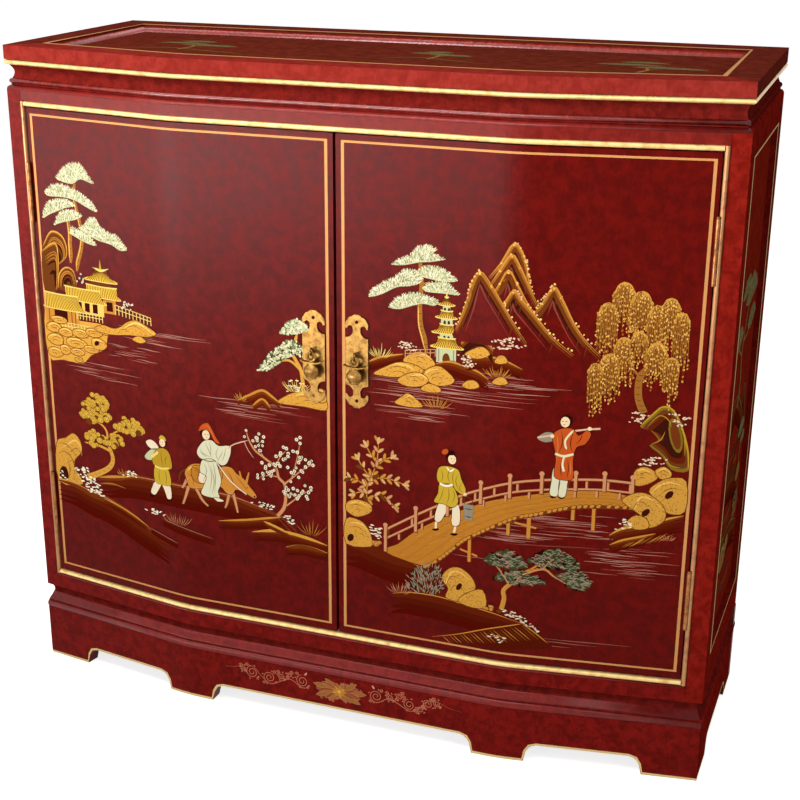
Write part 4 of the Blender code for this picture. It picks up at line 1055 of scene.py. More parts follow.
# right door, far island: mountains, pine and pagoda
picture = newCanvas(23)
frameLine("lineGold", doorLine["wide"], (doorLine["meeting"], doorLine["low"]),
          (doorLine["outer"], doorLine["high"]))
chance = picture["chance"]
peaks = [  # left foot, crest and right foot of each, back to front
    [(186, 612), (200, 630), (215, 653), (228, 635), (233, 610), (244, 583)],
    [(188, 604), (199, 622), (212, 640), (222, 628), (234, 604), (246, 580)],
    [(190, 592), (199, 606), (209, 622), (219, 609), (233, 585), (246, 570)],
    [(236, 570), (248, 588), (260, 606), (269, 596), (285, 566), (300, 546), (316, 531)],
    [(198, 574), (206, 586), (216, 600), (224, 592), (241, 573), (262, 549), (286, 530)],
    [(148, 548), (154, 562), (162, 585), (166, 602), (176, 618), (190, 604), (205, 582), (219, 560),
     (233, 540)],
]
picture["coat"] = 0
for points in peaks:
    low = min(points[0][1], points[-1][1]) - 6
    patch("ground", points + [(points[-1][0] - 6, low), (points[0][0] + 4, low)], steps=2)
    above()
    top = max(points, key=lambda p: p[1])
    left = [p for p in points if p[0] <= top[0]]
    right = [p for p in points if p[0] >= top[0]]
    for tone, wide, sink, share in (("haze", 2.0, 16, 0.7), ("umber", 5, 10.5, 0.7), ("brown", 5, 8, 0.85),
                                    ("hillGold", 5, 5.6, 1.0), ("darkGold", 4, 3, 1.0),
                                    ("tan", 2.4, 1.0, 1.0)):
        kept = max(2, round(len(right) * share))
        line = left[len(left) - max(2, round(len(left) * share)):] + right[1:kept]
        sunk = [(x + math.copysign(sink * 0.4, top[0] - x) * (x != top[0]), y - sink) for x, y in line]
        brush(tone, wide, sunk, ends=(0.3, 0.5), steps=3)
        above(0.5)
    for x, y in alongLine(points, 9)[1:-1]:  # creases run down the face from the crest
        stroke("brown", 1.1, (x, y - 6), -90 + (x - top[0]) * -0.3, chance.uniform(9, 17))
    for x, y in alongLine([top] + right[1:2], 9) + alongLine(left[-2:], 9):  # lit about the peak
        dab(chance.choice(("tan", "paleGold")), (x + chance.uniform(-1, 1), y - chance.uniform(0.5, 4)),
            chance.uniform(0.7, 1.3), sides=6)
    flank = left if len(left) > 3 or points is peaks[3] else right
    trees = [] if points in peaks[1:3] else alongLine(flank, 15)[1:] + alongLine(right[-3:], 7)[:5]
    for x, y in trees:  # along part of the outer crests
        spot = (x + chance.uniform(-1.2, 1.2), y + chance.uniform(0.2, 2.6))
        dab(chance.choice(("straw", "blush", "paleGold")), spot, chance.uniform(0.9, 1.5), sides=6)
    above()
picture["coat"] = 0
for row in (
        (38, 250, 458, 486, 30),
        (160, 282, 484, 500, 14),
        (40, 175, 432, 454, 18)):
    water(*row)
streaks([(180, 286, 487), (200, 262, 478), (66, 160, 470), (48, 168, 445)], "mauve", 1.2)

picture["coat"] = 6
for row in (
        ([(41, 496), (57, 504), (86, 511)], 12, "tan", 2.4, hillTones[:4]),
        ([(124, 503), (141, 508), (159, 505), (177, 500), (190, 492)], 16, "tan", 2.2, hillTones[:4]),
        ([(162, 512), (178, 518), (204, 518), (229, 508)], 14, "tan", 2.0, hillTones[:4]),
        ([(156, 532), (164, 543), (175, 550), (186, 541), (194, 528)], 18, "tan", 2.8,
         ("darkGold", "hillGold", "umber", "umber"))):
    crest(*row)
for x, y, wide, tall, count in ((186, 557, 16, 9, 60), (209, 537, 20, 8, 64), (92, 521, 13, 5, 36),
                                (161, 511, 11, 7, 36)):
    spray(x, y, wide, tall, count)
picture["coat"] = 8
block("sage", 126, 150, 506, 525)
for left, right, low, high in ((133, 142, 566, 574), (131, 145, 551, 559), (130, 146, 533, 541)):
    block("sage", left, right, low, high)
above()
patch("brown", [(134, 507), (134, 514), (138, 518), (142, 514), (142, 507)], steps=2)
for x in (129, 147):
    bar("grey", 1.4, [(x, 507), (x, 522)])
for y in (569, 554, 536):
    for x in (135.5, 140.5):
        niche = ((-1.5, -2), (1.5, -2), (1.3, 1.5), (0, 2.5), (-1.3, 1.5))
        patch("umber", [(x + a, y + b) for a, b in niche], steps=1)
above()
for row in (
        ((136.5, 138.5, 583), (127, 148, 574), 2.6),
        ((132, 144, 567), (124, 151, 559), 2.6),
        ((131, 145, 551), (120, 154, 541), 2.8),
        ((129, 148, 535), (119, 159, 524), 2.8)):
    roof(*row)
bar("straw", (2.4, 0.8), [(137.5, 582), (137.5, 590)])

picture["coat"] = 6
boughs("darkGold", [((4.5, 7.5), [(105, 620), (107, 595), (105, 572), (106, 549), (110, 535), (115, 515)]),
                    ((2.6, 1.4), [(105, 580), (92, 576), (80, 568)]),
                    ((2.4, 1.4), [(106, 596), (120, 598), (136, 594)]),
                    ((2.4, 1.4), [(106, 606), (92, 602), (76, 596)])])
above()
barkRings("umber", [(105, 572), (106, 549), (110, 535), (115, 517)], 5, 9)
brush("paleGold", 1.2, [(103.5, 572), (104, 549), (107.5, 535), (112.5, 517)], ends=(0.2, 0.2))
islandPines = [
    [(71, 614), (79, 621), (92, 627), (100, 637), (112, 642), (124, 638), (120, 632), (134, 627), (118, 622),
     (104, 620), (86, 615)],
    [(100, 606), (107, 615), (118, 618), (134, 615), (149, 604), (136, 600), (118, 602)],
    [(43, 573), (46, 582), (60, 592), (76, 602), (86, 612), (99, 612), (108, 605), (105, 597), (93, 592),
     (77, 589), (58, 578)],
    [(109, 591), (118, 599), (136, 601), (146, 593), (152, 587), (133, 587), (114, 587)],
    [(68, 564), (75, 575), (90, 584), (105, 585), (118, 582), (127, 578), (123, 572), (108, 573), (91, 567),
     (80, 563)],
]
for loop in islandPines:
    pinePad(loop)
picture["coat"] = 9
for loop in (
        [(85, 503), (95, 513), (109, 516), (121, 509), (125, 501), (114, 495), (98, 497)],
        [(48, 483), (63, 493), (82, 501), (102, 499), (112, 492), (100, 487), (80, 482), (63, 481)],
        [(109, 489), (118, 498), (132, 501), (149, 487), (140, 479), (123, 478)],
        [(78, 478), (91, 488), (105, 491), (117, 484), (110, 475), (91, 472)],
        [(107, 471), (117, 479), (130, 476), (132, 470), (118, 468)],
        [(158, 481), (164, 488), (174, 489), (179, 482), (168, 478)],
        [(75, 450), (84, 459), (92, 464), (105, 456), (110, 449), (92, 447)],
        [(160, 519), (173, 528), (183, 530), (191, 522), (176, 515)],
        [(196, 514), (201, 522), (208, 522), (212, 515), (203, 512)],
        [(194, 489), (200, 496), (208, 497), (213, 490), (203, 487)]):
    stone(loop)
fence("rose", ((88, 507), (125, 512)), ((88, 516), (125, 521)), 7)
for row in (
        ("straw", (56, 504), 28, 16, 14),
        ("tan", (200, 496), 30, 14, 14),
        ("tan", (127, 450), 26, 16, 13)):
    grass(*row)

# right door, willow and the rock under it
picture["coat"] = 2
boughs("darkGold", [((9, 5), [(367, 466), (360, 484), (360, 507), (367, 517), (373, 525), (370, 535),
                              (361, 546), (358, 562)]),
                    ((3.6, 1.6), [(364, 541), (369, 560), (376, 584)]),
                    ((3.4, 1.4), [(359, 556), (346, 566), (338, 600)]),
                    ((3.0, 1.4), [(361, 507), (346, 522), (330, 532)]),
                    ((2.6, 1.4), [(370, 527), (382, 534), (390, 545)])])
above()
barkRings("umber", [(367, 468), (360, 484), (360, 507), (370, 521), (370, 535), (360, 548)], 6, 15)
willowLobes = [(338, 614, 13, 62), (357, 605, 13, 62), (321, 590, 12, 74), (375, 590, 11, 72),
               (389, 599, 11, 66), (402, 583, 9, 84), (341, 552, 12, 62), (326, 532, 12, 66),
               (311, 520, 9, 66), (377, 548, 13, 58), (394, 532, 9, 60), (357, 560, 10, 44)]
willowArch = ((-1, 1.3), (-0.55, 0.25), (0, 0), (0.55, 0.25), (1, 1.3))
for x, y, half, drop in willowLobes:
    arch = [(x + half * a, y - half * b) for a, b in willowArch]
    patch("brown", arch + [(x + half * 0.7, y - drop * 0.55), (x - half * 0.6, y - drop * 0.6)])
    above(0.5)
    count = int(half * 1.1)
    for k in range(count):
        share = (k + 0.5) / count * 2 - 1
        top = (x + half * 0.8 * share, y - half * 0.9 * share * share)
        length = drop * chance.uniform(0.62, 1.0) * (1 - 0.2 * abs(share))
        tip = (x + half * share * 1.06 + chance.uniform(-1, 1), top[1] - length)
        path = [top, (x + half * share, top[1] - 7), tip]
        brush("darkGold", 1.1, path, ends=(0.1, 0.4), steps=3)
        for spot in alongLine(path, int(length / 2.6)):
            tone = chance.choice(("gold", "gold", "darkGold", "paleGold"))
            dab(tone, spot + Vector((chance.uniform(-1, 1), 0)), 1.5, squash=0.6,
                turn=chance.uniform(50, 130), sides=6)
    above(0.5)
    brush("gold", 1.5, arch)
    above(0.5)
picture["coat"] = 4
cliff = [(364, 450), (377, 465), (388, 475), (400, 471), (411, 450), (419, 424), (421, 401), (402, 401),
         (390, 417), (376, 428), (386, 434), (376, 446)]
for share, tone in ((1.0, "olive"), (0.9, "brown"), (0.76, "hillBrown"), (0.6, "umber")):
    patch(tone, [(400 + (x - 400) * share, 440 + (y - 440) * share) for x, y in cliff])
    above()
# the stem of rock in the hollow
for tone, tall, wide in (("olive", 21, 0.34), ("brown", 17, 0.3), ("hillGold", 12, 0.26)):
    dab(tone, (404, 442), tall, squash=wide, turn=104, sides=16)
    above(0.5)
brush("mustard", 2.0, cliff[:7], ends=(0.1, 0.1))
for points in ([(372, 450), (384, 464), (394, 461), (399, 452)], [(378, 430), (388, 436), (392, 446)],
               [(392, 418), (401, 406), (412, 404)], [(408, 461), (414, 440), (416, 418)]):
    brush("mustard", 1.0, points)
for x, y, wide, tall, count in ((363, 461, 10, 7, 32), (409, 461, 10, 8, 36), (379, 409, 14, 6, 40)):
    spray(x, y, wide, tall, count)

# right door, near bank: leafy plant over holed rocks
picture["coat"] = 2
crest([(13, 261), (40, 260), (62, 255), (85, 250), (114, 243)], 34, "tan", 1.6, hillTones[1:])
for loop, hole in (
        ([(12, 304), (14, 315), (28, 320), (44, 316), (46, 307), (36, 300), (24, 297)], None),
        ([(12, 292), (30, 293), (41, 284), (46, 272), (45, 260), (12, 259)], (18, 268))):
    stone(loop)
    if hole:
        dab("umber", hole, 5.5, squash=0.75, turn=60, sides=12)
        above()
dashes("linen", [(44, 290), (58, 288), (60, 272), (46, 272)], 26, 2.2)
fans([(46, 262), (48, 270), (58, 268), (57, 258)], 7, 3.0, "tan", "brown", "straw")
plantStems = [
    [(40, 318), (40, 338), (47, 355), (53, 375), (55, 400)], [(40, 338), (28, 345), (16, 346)],
    [(45, 350), (35, 362), (27, 375)], [(47, 350), (66, 353), (90, 348)], [(40, 322), (58, 331), (77, 317)],
    [(50, 364), (62, 376), (74, 382)], [(40, 330), (30, 330), (20, 325)], [(52, 374), (43, 384), (38, 394)],
]
for points in plantStems:
    brush("tan", 1.5, points, ends=(0, 0.2))
above()
for points in plantStems:
    line = smoothed(points, 6)
    count = int(sum((q - p).length for p, q in zip(line, line[1:])) / 8.5)
    for spot in alongLine(points, count):
        way = points[-1][0] - points[0][0], points[-1][1] - points[0][1]
        lean = math.degrees(math.atan2(way[1], way[0]))
        for side in (-1, 1):
            tilt = lean + side * 44
            leaf = spot + heading(tilt) * 4.2
            dab("brown", leaf, 5.6, squash=0.46, turn=tilt, sides=10)
            above(0.1)
            dab(chance.choice(("wheat", "rose", "tan")), leaf, 5.0, squash=0.36, turn=tilt, sides=10)
    dab("wheat", points[-1], 5.0, squash=0.4, turn=lean, sides=10)

# right door, water and the bridge
picture["coat"] = 0
streaks([(185, 260, 316), (195, 240, 305), (250, 330, 327), (262, 330, 318), (310, 374, 289), (357, 416, 283),
         (309, 391, 278), (330, 372, 296), (180, 215, 296), (280, 340, 308), (300, 345, 336), (150, 200, 268),
         (225, 262, 300), (330, 420, 270), (300, 350, 264)], "mist", 1.1)
water(175, 345, 292, 332, 34)
water(300, 420, 262, 300, 20)
streaks([(285, 335, 325), (305, 338, 317), (322, 352, 309), (205, 246, 303), (308, 330, 311),
         (334, 420, 283)], "mauve", 1.3)
streaks([(262, 372, 172), (250, 330, 168), (240, 300, 163)], "mist", 1.0)
picture["coat"] = 3
deckFar = [(62, 257), (80, 269), (103, 290), (125, 305), (150, 320), (176, 334), (200, 345), (228, 353),
           (255, 359), (283, 365), (310, 368), (340, 367), (362, 362)]
deckNear = [(114, 246), (130, 257), (147, 273), (163, 289), (182, 302), (205, 316), (228, 328), (250, 334),
            (275, 342), (300, 348), (330, 351), (362, 352)]
for x, top, foot in ((172, 292, 261), (219, 322, 303), (243, 331, 301), (294, 343, 329), (318, 347, 318)):
    bar("tan", 4.4, [(x, top), (x, foot)])
    bar("brown", 1.2, [(x + 2.2, top), (x + 2.2, foot)])
bar("tan", 2.4, [(160, 276), (182, 270)])
bar("tan", 2.4, [(226, 320), (252, 315)])
above()
band("brown", 5.0, [(x + 1, y - 2) for x, y in deckNear])
above()
deckLoop = deckFar + deckNear[::-1]
patch("ochre", deckLoop)
above()
for spot in scattered(deckLoop, 150):  # worn grain along the deck
    slope = 36 - spot[0] * 0.11
    stroke(chance.choice(("darkGold", "gold", "tan", "darkGold")), 0.7, spot, slope, chance.uniform(4, 11))
for share in (0.25, 0.5, 0.75):  # planks run along the deck
    far, near = smoothed(deckFar, 3), smoothed(deckNear, 3)
    line = [far[int(k * (len(far) - 1) / 24)].lerp(near[int(k * (len(near) - 1) / 24)], share)
            for k in range(25)]
    brush("darkGold", 0.6, line, ends=(0.05, 0.05), steps=1)
for tone, size in (("brown", 4.0), ("tan", 3.0)):
    for spot in alongLine(deckNear, 40):
        dab(tone, spot + Vector((0.8, -1.4)), size, squash=0.66, turn=35, sides=9)
    above()
above()
bridgePosts = [(64, 290, 257), (103, 318, 289), (143, 342, 316), (184, 363, 338), (219, 376, 350),
               (256, 382, 359), (295, 386, 366), (328, 388, 368), (360, 386, 363)]
topRail = [(64, 286), (103, 311), (133, 329), (160, 345), (184, 356), (219, 369), (256, 376), (295, 380),
           (328, 382), (360, 381)]
for k, spot in enumerate(alongLine(topRail, 25)):  # short uprights, above and below the lower rail by turns
    high, low = ((0, -12), (-12, -22))[k % 2]
    bar("brown", 3.6, [spot + Vector((0.6, high)), spot + Vector((0.6, low))])
    bar("rose", 2.5, [spot + Vector((0, high)), spot + Vector((0, low))])
above()
for drop, wide in ((0, 2.6), (12, 2.2)):
    band("brown", wide + 1.0, [(x, y - drop - 0.6) for x, y in topRail])
    band("rose", wide, [(x, y - drop) for x, y in topRail])
above()
for x, top, foot in bridgePosts:
    bar("brown", 4.8, [(x + 0.6, foot - 1), (x + 0.6, top)])
above()
for x, top, foot in bridgePosts:
    bar("rose", 3.6, [(x, foot), (x, top)])
    dab("rose", (x, top + 2), 3.0, sides=10)
    brush("mauve", 0.9, [(x - 1, foot + 1), (x - 1, top)], ends=(0.1, 0.1), steps=1)

# right door, the two walkers on the bridge
picture["coat"] = 10
band("skin", 3.0, [(130, 312), (129, 303), (129, 298)])
band("skin", 3.0, [(154, 309), (153, 300), (152, 296)])
brush("ink", 2.8, [(124, 296), (129, 296), (133, 298)], ends=(0.3, 0.2))
brush("ink", 2.8, [(147, 293.5), (152, 293.5), (157, 295)], ends=(0.3, 0.2))
above()
garment("linen", [(133, 333), (145, 330), (140, 317), (134, 307), (127, 310)])
garment("linen", [(147, 338), (158, 331), (159, 308), (149, 306), (149, 325)])
above()
garment("yellow", [(133, 356), (149, 356), (157, 338), (150, 328), (138, 331), (126, 332), (131, 344)])
garment("yellow", [(132, 377), (143, 380), (156, 377), (160, 366), (166, 353), (162, 346), (153, 351),
                   (148, 357), (134, 356), (129, 364)])
folds("olive", 0.9, [[(151, 377), (149, 366), (151, 356)], [(161, 362), (158, 354), (163, 348)],
                     [(146, 378), (143, 368), (146, 357)], [(156, 372), (153, 362), (158, 350)],
                     [(138, 352), (136, 342), (132, 333)], [(144, 353), (145, 342), (142, 331)],
                     [(150, 351), (152, 343), (149, 333)], [(134, 374), (137, 366), (134, 358)]])
band("white", 2.6, [(133, 356.5), (141, 354.5), (149, 357)])
brush("white", 2.0, [(141, 379), (146, 374), (151, 378)], ends=(0.2, 0.2))
dab("skin", (165, 347), 2.4, sides=8)
head((148, 389), 6.0, 1)
above()
dab("orange", (139, 397.5), 4.6, squash=0.7, turn=35, sides=10)
dab("ink", (147, 397), 4.2, squash=0.75, sides=10)
band("brown", 0.9, [(165, 346), (164, 340), (165, 334)])
band("brown", 0.9, [(166, 346), (174, 341), (175, 334)])
patch("grey", [(163, 335), (176, 335), (174.5, 315), (165, 315)], steps=1)
folds("umber", 1.0, [[(164, 330), (170, 329), (175.5, 330)], [(164.6, 320), (170, 319), (175, 320)],
                     [(170, 335), (170, 315)]])

picture["coat"] = 10
band("blush", 2.2, [(249, 428), (270, 433), (295, 440), (320, 444)])
patch("grey", [(249, 427), (258, 435), (268, 434), (269, 427), (259, 423)])
above()
for x in (270, 280):
    brush("ink", 2.8, [(x - 4, 356.5), (x, 356), (x + 4, 358)], ends=(0.3, 0.2))
garment("robe", [(269, 392), (278, 392), (276, 372), (275, 358), (266, 359), (267, 374)])
garment("robe", [(278, 392), (287, 392), (286, 374), (284, 358), (276, 358), (277, 374)])
above()
garment("orange", [(266, 431), (272, 439), (281, 442), (290, 441), (296, 434), (305, 441), (310, 436),
                   (304, 424), (294, 419), (291, 402), (292, 381), (281, 378), (270, 382), (271, 402),
                   (269, 416)])
folds("umber", 0.9, [[(276, 438), (278, 424), (274, 411)], [(290, 438), (287, 424), (290, 412)],
                     [(278, 404), (277, 392), (279, 381)], [(285, 404), (286, 392), (285, 381)],
                     [(300, 436), (298, 429), (293, 423)]])
folds("coral", 1.1, [[(271, 434), (273, 420), (272, 400)], [(288, 404), (289, 392), (288, 383)]])
brush("cream", 2.4, [(290, 440), (281, 427), (283, 416)], ends=(0.1, 0.1))
band("cream", 2.8, [(270, 410), (280, 407.5), (291, 411)])
band("cream", (2.0, 2.8), [(281, 408), (279, 398), (281, 389)])
dab("skin", (308, 443), 2.5, sides=8)
dab("skin", (266, 431), 2.4, sides=8)
head((280, 449), 6.4, -1)

# right door, holed gold rocks on the far bank of the bridge
picture["coat"] = 8
for loop, hole in (
        ([(360, 386), (362, 397), (372, 402), (383, 398), (388, 390), (377, 381), (364, 378)], None),
        ([(384, 398), (394, 404), (403, 397), (400, 389), (390, 389)], None),
        ([(379, 372), (388, 384), (402, 391), (420, 388), (421, 351), (402, 347), (395, 356)], (402, 370)),
        ([(349, 360), (366, 370), (381, 368), (396, 356), (400, 341), (390, 330), (377, 328), (372, 341),
          (358, 351)], (377, 346)),
        ([(356, 332), (366, 342), (379, 338), (381, 327), (366, 324)], None)):
    stone(loop)
    if hole:
        dab("umber", hole, 6.0, squash=0.6, turn=50, sides=12)
        above()
dashes("linen", [(342, 322), (346, 336), (360, 336), (362, 324)], 18, 2.0)
picture["coat"] = 2
crest([(337, 314), (352, 324), (371, 329), (395, 338), (420, 346)], 22, "gold", 3.4, hillTones)
crest([(338, 302), (352, 309), (368, 314), (390, 321)], 12, "tan", 2.6, hillTones[:4])
for k in range(16):
    stroke(chance.choice(("tan", "darkGold")), 1.0, (352 + k * 3, 300 + k * 0.9 + chance.uniform(-2, 2)), 38,
           chance.uniform(8, 18))
grass("rose", (404, 313), 16, 10, 8, 0.8)

# right door, foot of the picture: rocks, bush, dark pine and hills
picture["coat"] = 1
crest([(72, 201), (95, 207), (133, 208), (171, 203), (205, 198), (240, 189)], 30, "tan", 1.4, hillTones[1:])
patch("hillRust", [(150, 160), (196, 176), (240, 189), (268, 170), (276, 160), (225, 152), (180, 152)],
      steps=2)
above()
brush("tan", 1.6, [(126, 152), (160, 162), (200, 177), (240, 189)], ends=(0.5, 0.1))
brush("tan", 1.4, [(240, 189), (256, 178), (272, 166)], ends=(0.1, 0.3))
for k in range(24):  # ploughed rows of the small field
    x = 140 + k * 4.3
    stroke(("tan", "brown", "darkGold")[k % 3], 1.3, (x, 156 + (x - 140) * 0.31), -38, 14 + 0.6 * k)
dashes("linen", [(195, 166), (206, 172), (224, 168), (214, 158)], 14, 2.0)
picture["coat"] = 5
stone([(138, 237), (148, 249), (162, 251), (176, 241), (181, 227), (168, 214), (158, 206), (143, 209),
       (146, 221), (140, 229)])
dab("umber", (160, 226), 5.5, squash=0.55, turn=60, sides=12)
above()
stone([(159, 207), (171, 220), (190, 227), (195, 206), (178, 201)])
bush = [(92, 212), (97, 230), (108, 243), (124, 249), (138, 243), (141, 222), (132, 208), (110, 206)]
for tone, count in (("ink", 40), ("moss", 70), ("grey", 90), ("mauve", 26)):
    above()
    for x, y in scattered(bush, count):
        stroke(tone, 1.5, (x, y), 90 - (x - 117) * 2.0 + chance.uniform(-35, 35), chance.uniform(4, 7.5))
boughs("tan", [((6.0, 4), [(214, 205), (217, 220), (216, 231), (226, 242), (238, 254), (248, 262)]),
               ((3.4, 1.6), [(226, 242), (240, 246), (262, 244)]),
               ((3.6, 1.6), [(238, 254), (262, 264), (274, 256), (293, 245)]),
               ((2.6, 1.4), [(222, 238), (214, 252), (205, 264)]),
               ((2.4, 1.2), [(248, 262), (262, 272), (276, 278)])])
above()
boughs("gold", [((1.6, 1.0), [(213, 206), (215.5, 220), (214.5, 231), (225, 243), (237, 255), (247, 263)])])
for loop in (
        [(190, 265), (202, 277), (219, 283), (234, 276), (243, 265), (225, 261), (205, 260)],
        [(203, 245), (215, 255), (235, 258), (252, 253), (266, 245), (246, 241), (225, 239)],
        [(245, 274), (256, 284), (276, 291), (293, 283), (306, 271), (297, 264), (275, 266), (256, 263)],
        [(278, 256), (292, 266), (308, 262), (319, 250), (306, 239), (290, 246)]):
    leafDots(loop, 46, ("ink", "fir"), 3.2)
    for tone, count in (("moss", 46), ("fir", 26), ("grey", 44), ("mauve", 16)):
        above(0.4)
        for x, y in scattered(loop, count):
            stroke(tone, 1.5, (x, y), chance.uniform(-28, 28), chance.uniform(3.5, 6.5), bow=1.0)
    above()
boughs("rose", [((1.6, 1.0), [(238, 254), (262, 263), (274, 256), (293, 246)]),
                ((1.4, 0.9), [(222, 240), (214, 252), (205, 263)]),
                ((1.3, 0.8), [(262, 263), (268, 272), (276, 279)])])
dashes("linen", [(214, 206), (232, 204), (250, 192), (264, 178), (252, 182), (236, 194), (216, 199)], 44, 1.9)
fans([(192, 203), (198, 209), (214, 208), (214, 202)], 7, 2.6, "tan", "brown", "straw")
grass("rose", (84, 204), 30, 16, 12, 0.8)
finishDoor("right")

# gold line along the foot of the base, up and over each cut-out
footLine = {"wide": 3.0, "foot": 66.0, "flare": 6.0, "tall": 24.0, "round": 10.0, "bend": (8.0, 21.4),
            "bendOut": (-0.62, 0.79), "cornerShare": 0.8, "endGap": 0.4}
apron = {"inset": -0.001, "halfRun": 459.4, "end": 460.1, "middleCut": 181.65, "cantCut": (66.0, 211.7),
         "edgeRound": 5.0, "height": 81.4, "joint": 214.7}


def cutOutLine(start, stop):
    edge = footLine["wide"] / 2
    slope = Vector((footLine["flare"], footLine["tall"])).normalized()
    out = Vector((-slope.y, slope.x)) * edge
    near = Vector((footLine["flare"], footLine["tall"])) - slope * footLine["round"] + out
    bendSpot = Vector(footLine["bend"]) + Vector(footLine["bendOut"]) * edge
    rise = [Vector((-edge * footLine["cornerShare"], edge)), near, bendSpot,
            Vector((footLine["flare"] + footLine["round"], footLine["tall"] + edge))]
    return [Vector((start, 0)) + p for p in rise] + [Vector((stop - p.x, p.y)) for p in reversed(rise)]


picture = newCanvas(31)
edge = footLine["wide"] / 2
cantCut = [apron["halfRun"] - s for s in apron["cantCut"]]
frontLine = [Vector((-apron["end"], edge))] + cutOutLine(-cantCut[0], -cantCut[1])
frontLine += cutOutLine(-apron["middleCut"], apron["middleCut"]) + cutOutLine(cantCut[1], cantCut[0])
frontLine.append(Vector((apron["end"], edge)))
bar("footGold", footLine["wide"], frontLine)

# scrolls and a leafy flower in dull gold on the middle of the apron
scrolls = {"wide": 0.85, "heart": (2.0, 50.0), "rings": [
    (-135, 57, 4, 1), (-122, 54, 9, 1), (-97, 51, 9, -1), (-80, 56, 5, 1), (-68, 60, 4, -1), (-50, 55, 9, 1),
    (53, 54, 9, -1), (72, 56, 5, 1), (85, 60, 5, -1), (98, 51, 8, 1), (113, 47, 5, -1), (123, 57, 7, -1),
    (135, 60, 5, 1)]}


def curl(tone, at, size, turns, way, begin):
    steps = int(turns * 14)
    points = []
    for k in range(steps + 1):
        share = k / steps
        angle = math.radians(begin) + way * turns * math.tau * share
        reach = size * (1 - 0.82 * share)
        points.append((at[0] + reach * math.cos(angle), at[1] + reach * math.sin(angle)))
    brush(tone, scrolls["wide"], points, ends=(0.05, 0.1), steps=1)


above()
for x, y, size, way in scrolls["rings"]:
    curl("copper", (x, y), size, 1.9, way, 90 if way > 0 else 270)
    curl("copper", (x - way * size * 0.8, y + size + 0.5), 2.6, 1.3, -way, 200)
    curl("copper", (x + way * size * 0.9, y - size * 0.9), 2.2, 1.2, way, 20)
    for turn in (70, 160, 250, 330):
        reach = math.radians(turn)
        dab("copper", (x + (size + 1.3) * math.cos(reach), y + (size + 1.3) * math.sin(reach)), 1.5,
            squash=0.5, turn=turn + 60)
heart = Vector(scrolls["heart"])
for side in (-1, 1):
    stem = [(40, 50), (52, 45), (68, 54), (80, 50), (97, 42), (110, 50), (122, 62), (136, 62), (150, 57),
            (166, 55)]
    brush("copper", 0.9, [(heart.x + side * x, y) for x, y in stem], ends=(0.1, 0.6))
    dab("blush", (heart.x + side * 47, 66), 2.8, squash=0.42, turn=90 + side * 35, sides=8)
above()
for k in range(22):  # leaves, longest to the two sides
    turn = math.tau * k / 22 + 0.08
    way = Vector((math.cos(turn), math.sin(turn)))
    length = 12 + 26 * abs(way.x) ** 1.5 * (1, 0.72)[k % 2]
    tip = heart + Vector((way.x * length, way.y * length * 0.82))
    out = Vector((-way.y, way.x)) * length * 0.13
    root, belly = heart + way * 3, heart.lerp(tip, 0.55)
    loop = [root, belly + out, tip, belly - out]
    patch(("leafGold", "ember")[k % 2], loop)
    above(0.3)
    brush("copper", 0.6, loop, closed=True, steps=2)
    brush("umber", 0.6, [root, heart.lerp(tip, 0.8)], steps=1)
    curl("copper", heart.lerp(tip, 0.8) + out, 2.0, 1.1, 1 if k % 2 else -1, 30 * k)
    above(0.3)
for k in range(9):
    turn = math.tau * k / 9
    dab("gold" if k % 2 else "tan", heart + Vector((math.cos(turn) * 6, math.sin(turn) * 4.6)), 4.2,
        squash=0.42, turn=math.degrees(turn), sides=9)
above()
dab("paleGold", heart, 2.2, sides=10)


def overEdge(up, lift):  # height and reach of a film that runs up the apron and over its rounded top
    radius = apron["edgeRound"] / 1000
    top = apron["height"] / 1000 - radius
    turn = max(0, up - top) / radius
    level = max(0, min(up, top)) + (radius + lift) * math.sin(turn)
    return level, lift * math.cos(turn) - radius * (1 - math.cos(turn))


def apronPlace(across, up, lift):
    level, out = overEdge(up, lift)
    return frontPlace(across, level, apron["inset"] - out)


def sideApronPlace(side):
    place = sidePlace(side, apron["inset"])
    return lambda across, up, lift: place(across, *overEdge(up, lift))


finishCanvas("apron_gold_line_and_scrolls", apronPlace, "carcass", bendStations(apron["inset"]))

# lacquer carried over the two joints of the apron, so that no seam shows
picture = newCanvas(5)
jointFilm = {"half": 1.5, "low": 3.2, "high": 8.2, "step": 5.0, "count": 16}
for middle in (-apron["joint"], apron["joint"]):
    for rise in [jointFilm["step"] * k for k in range(jointFilm["count"])]:
        block("lacquerFilm", middle - jointFilm["half"], middle + jointFilm["half"], jointFilm["low"] + rise,
              jointFilm["high"] + rise)
finishCanvas("apron_joint_lacquer", apronPlace, "carcass", bendStations(apron["inset"]))

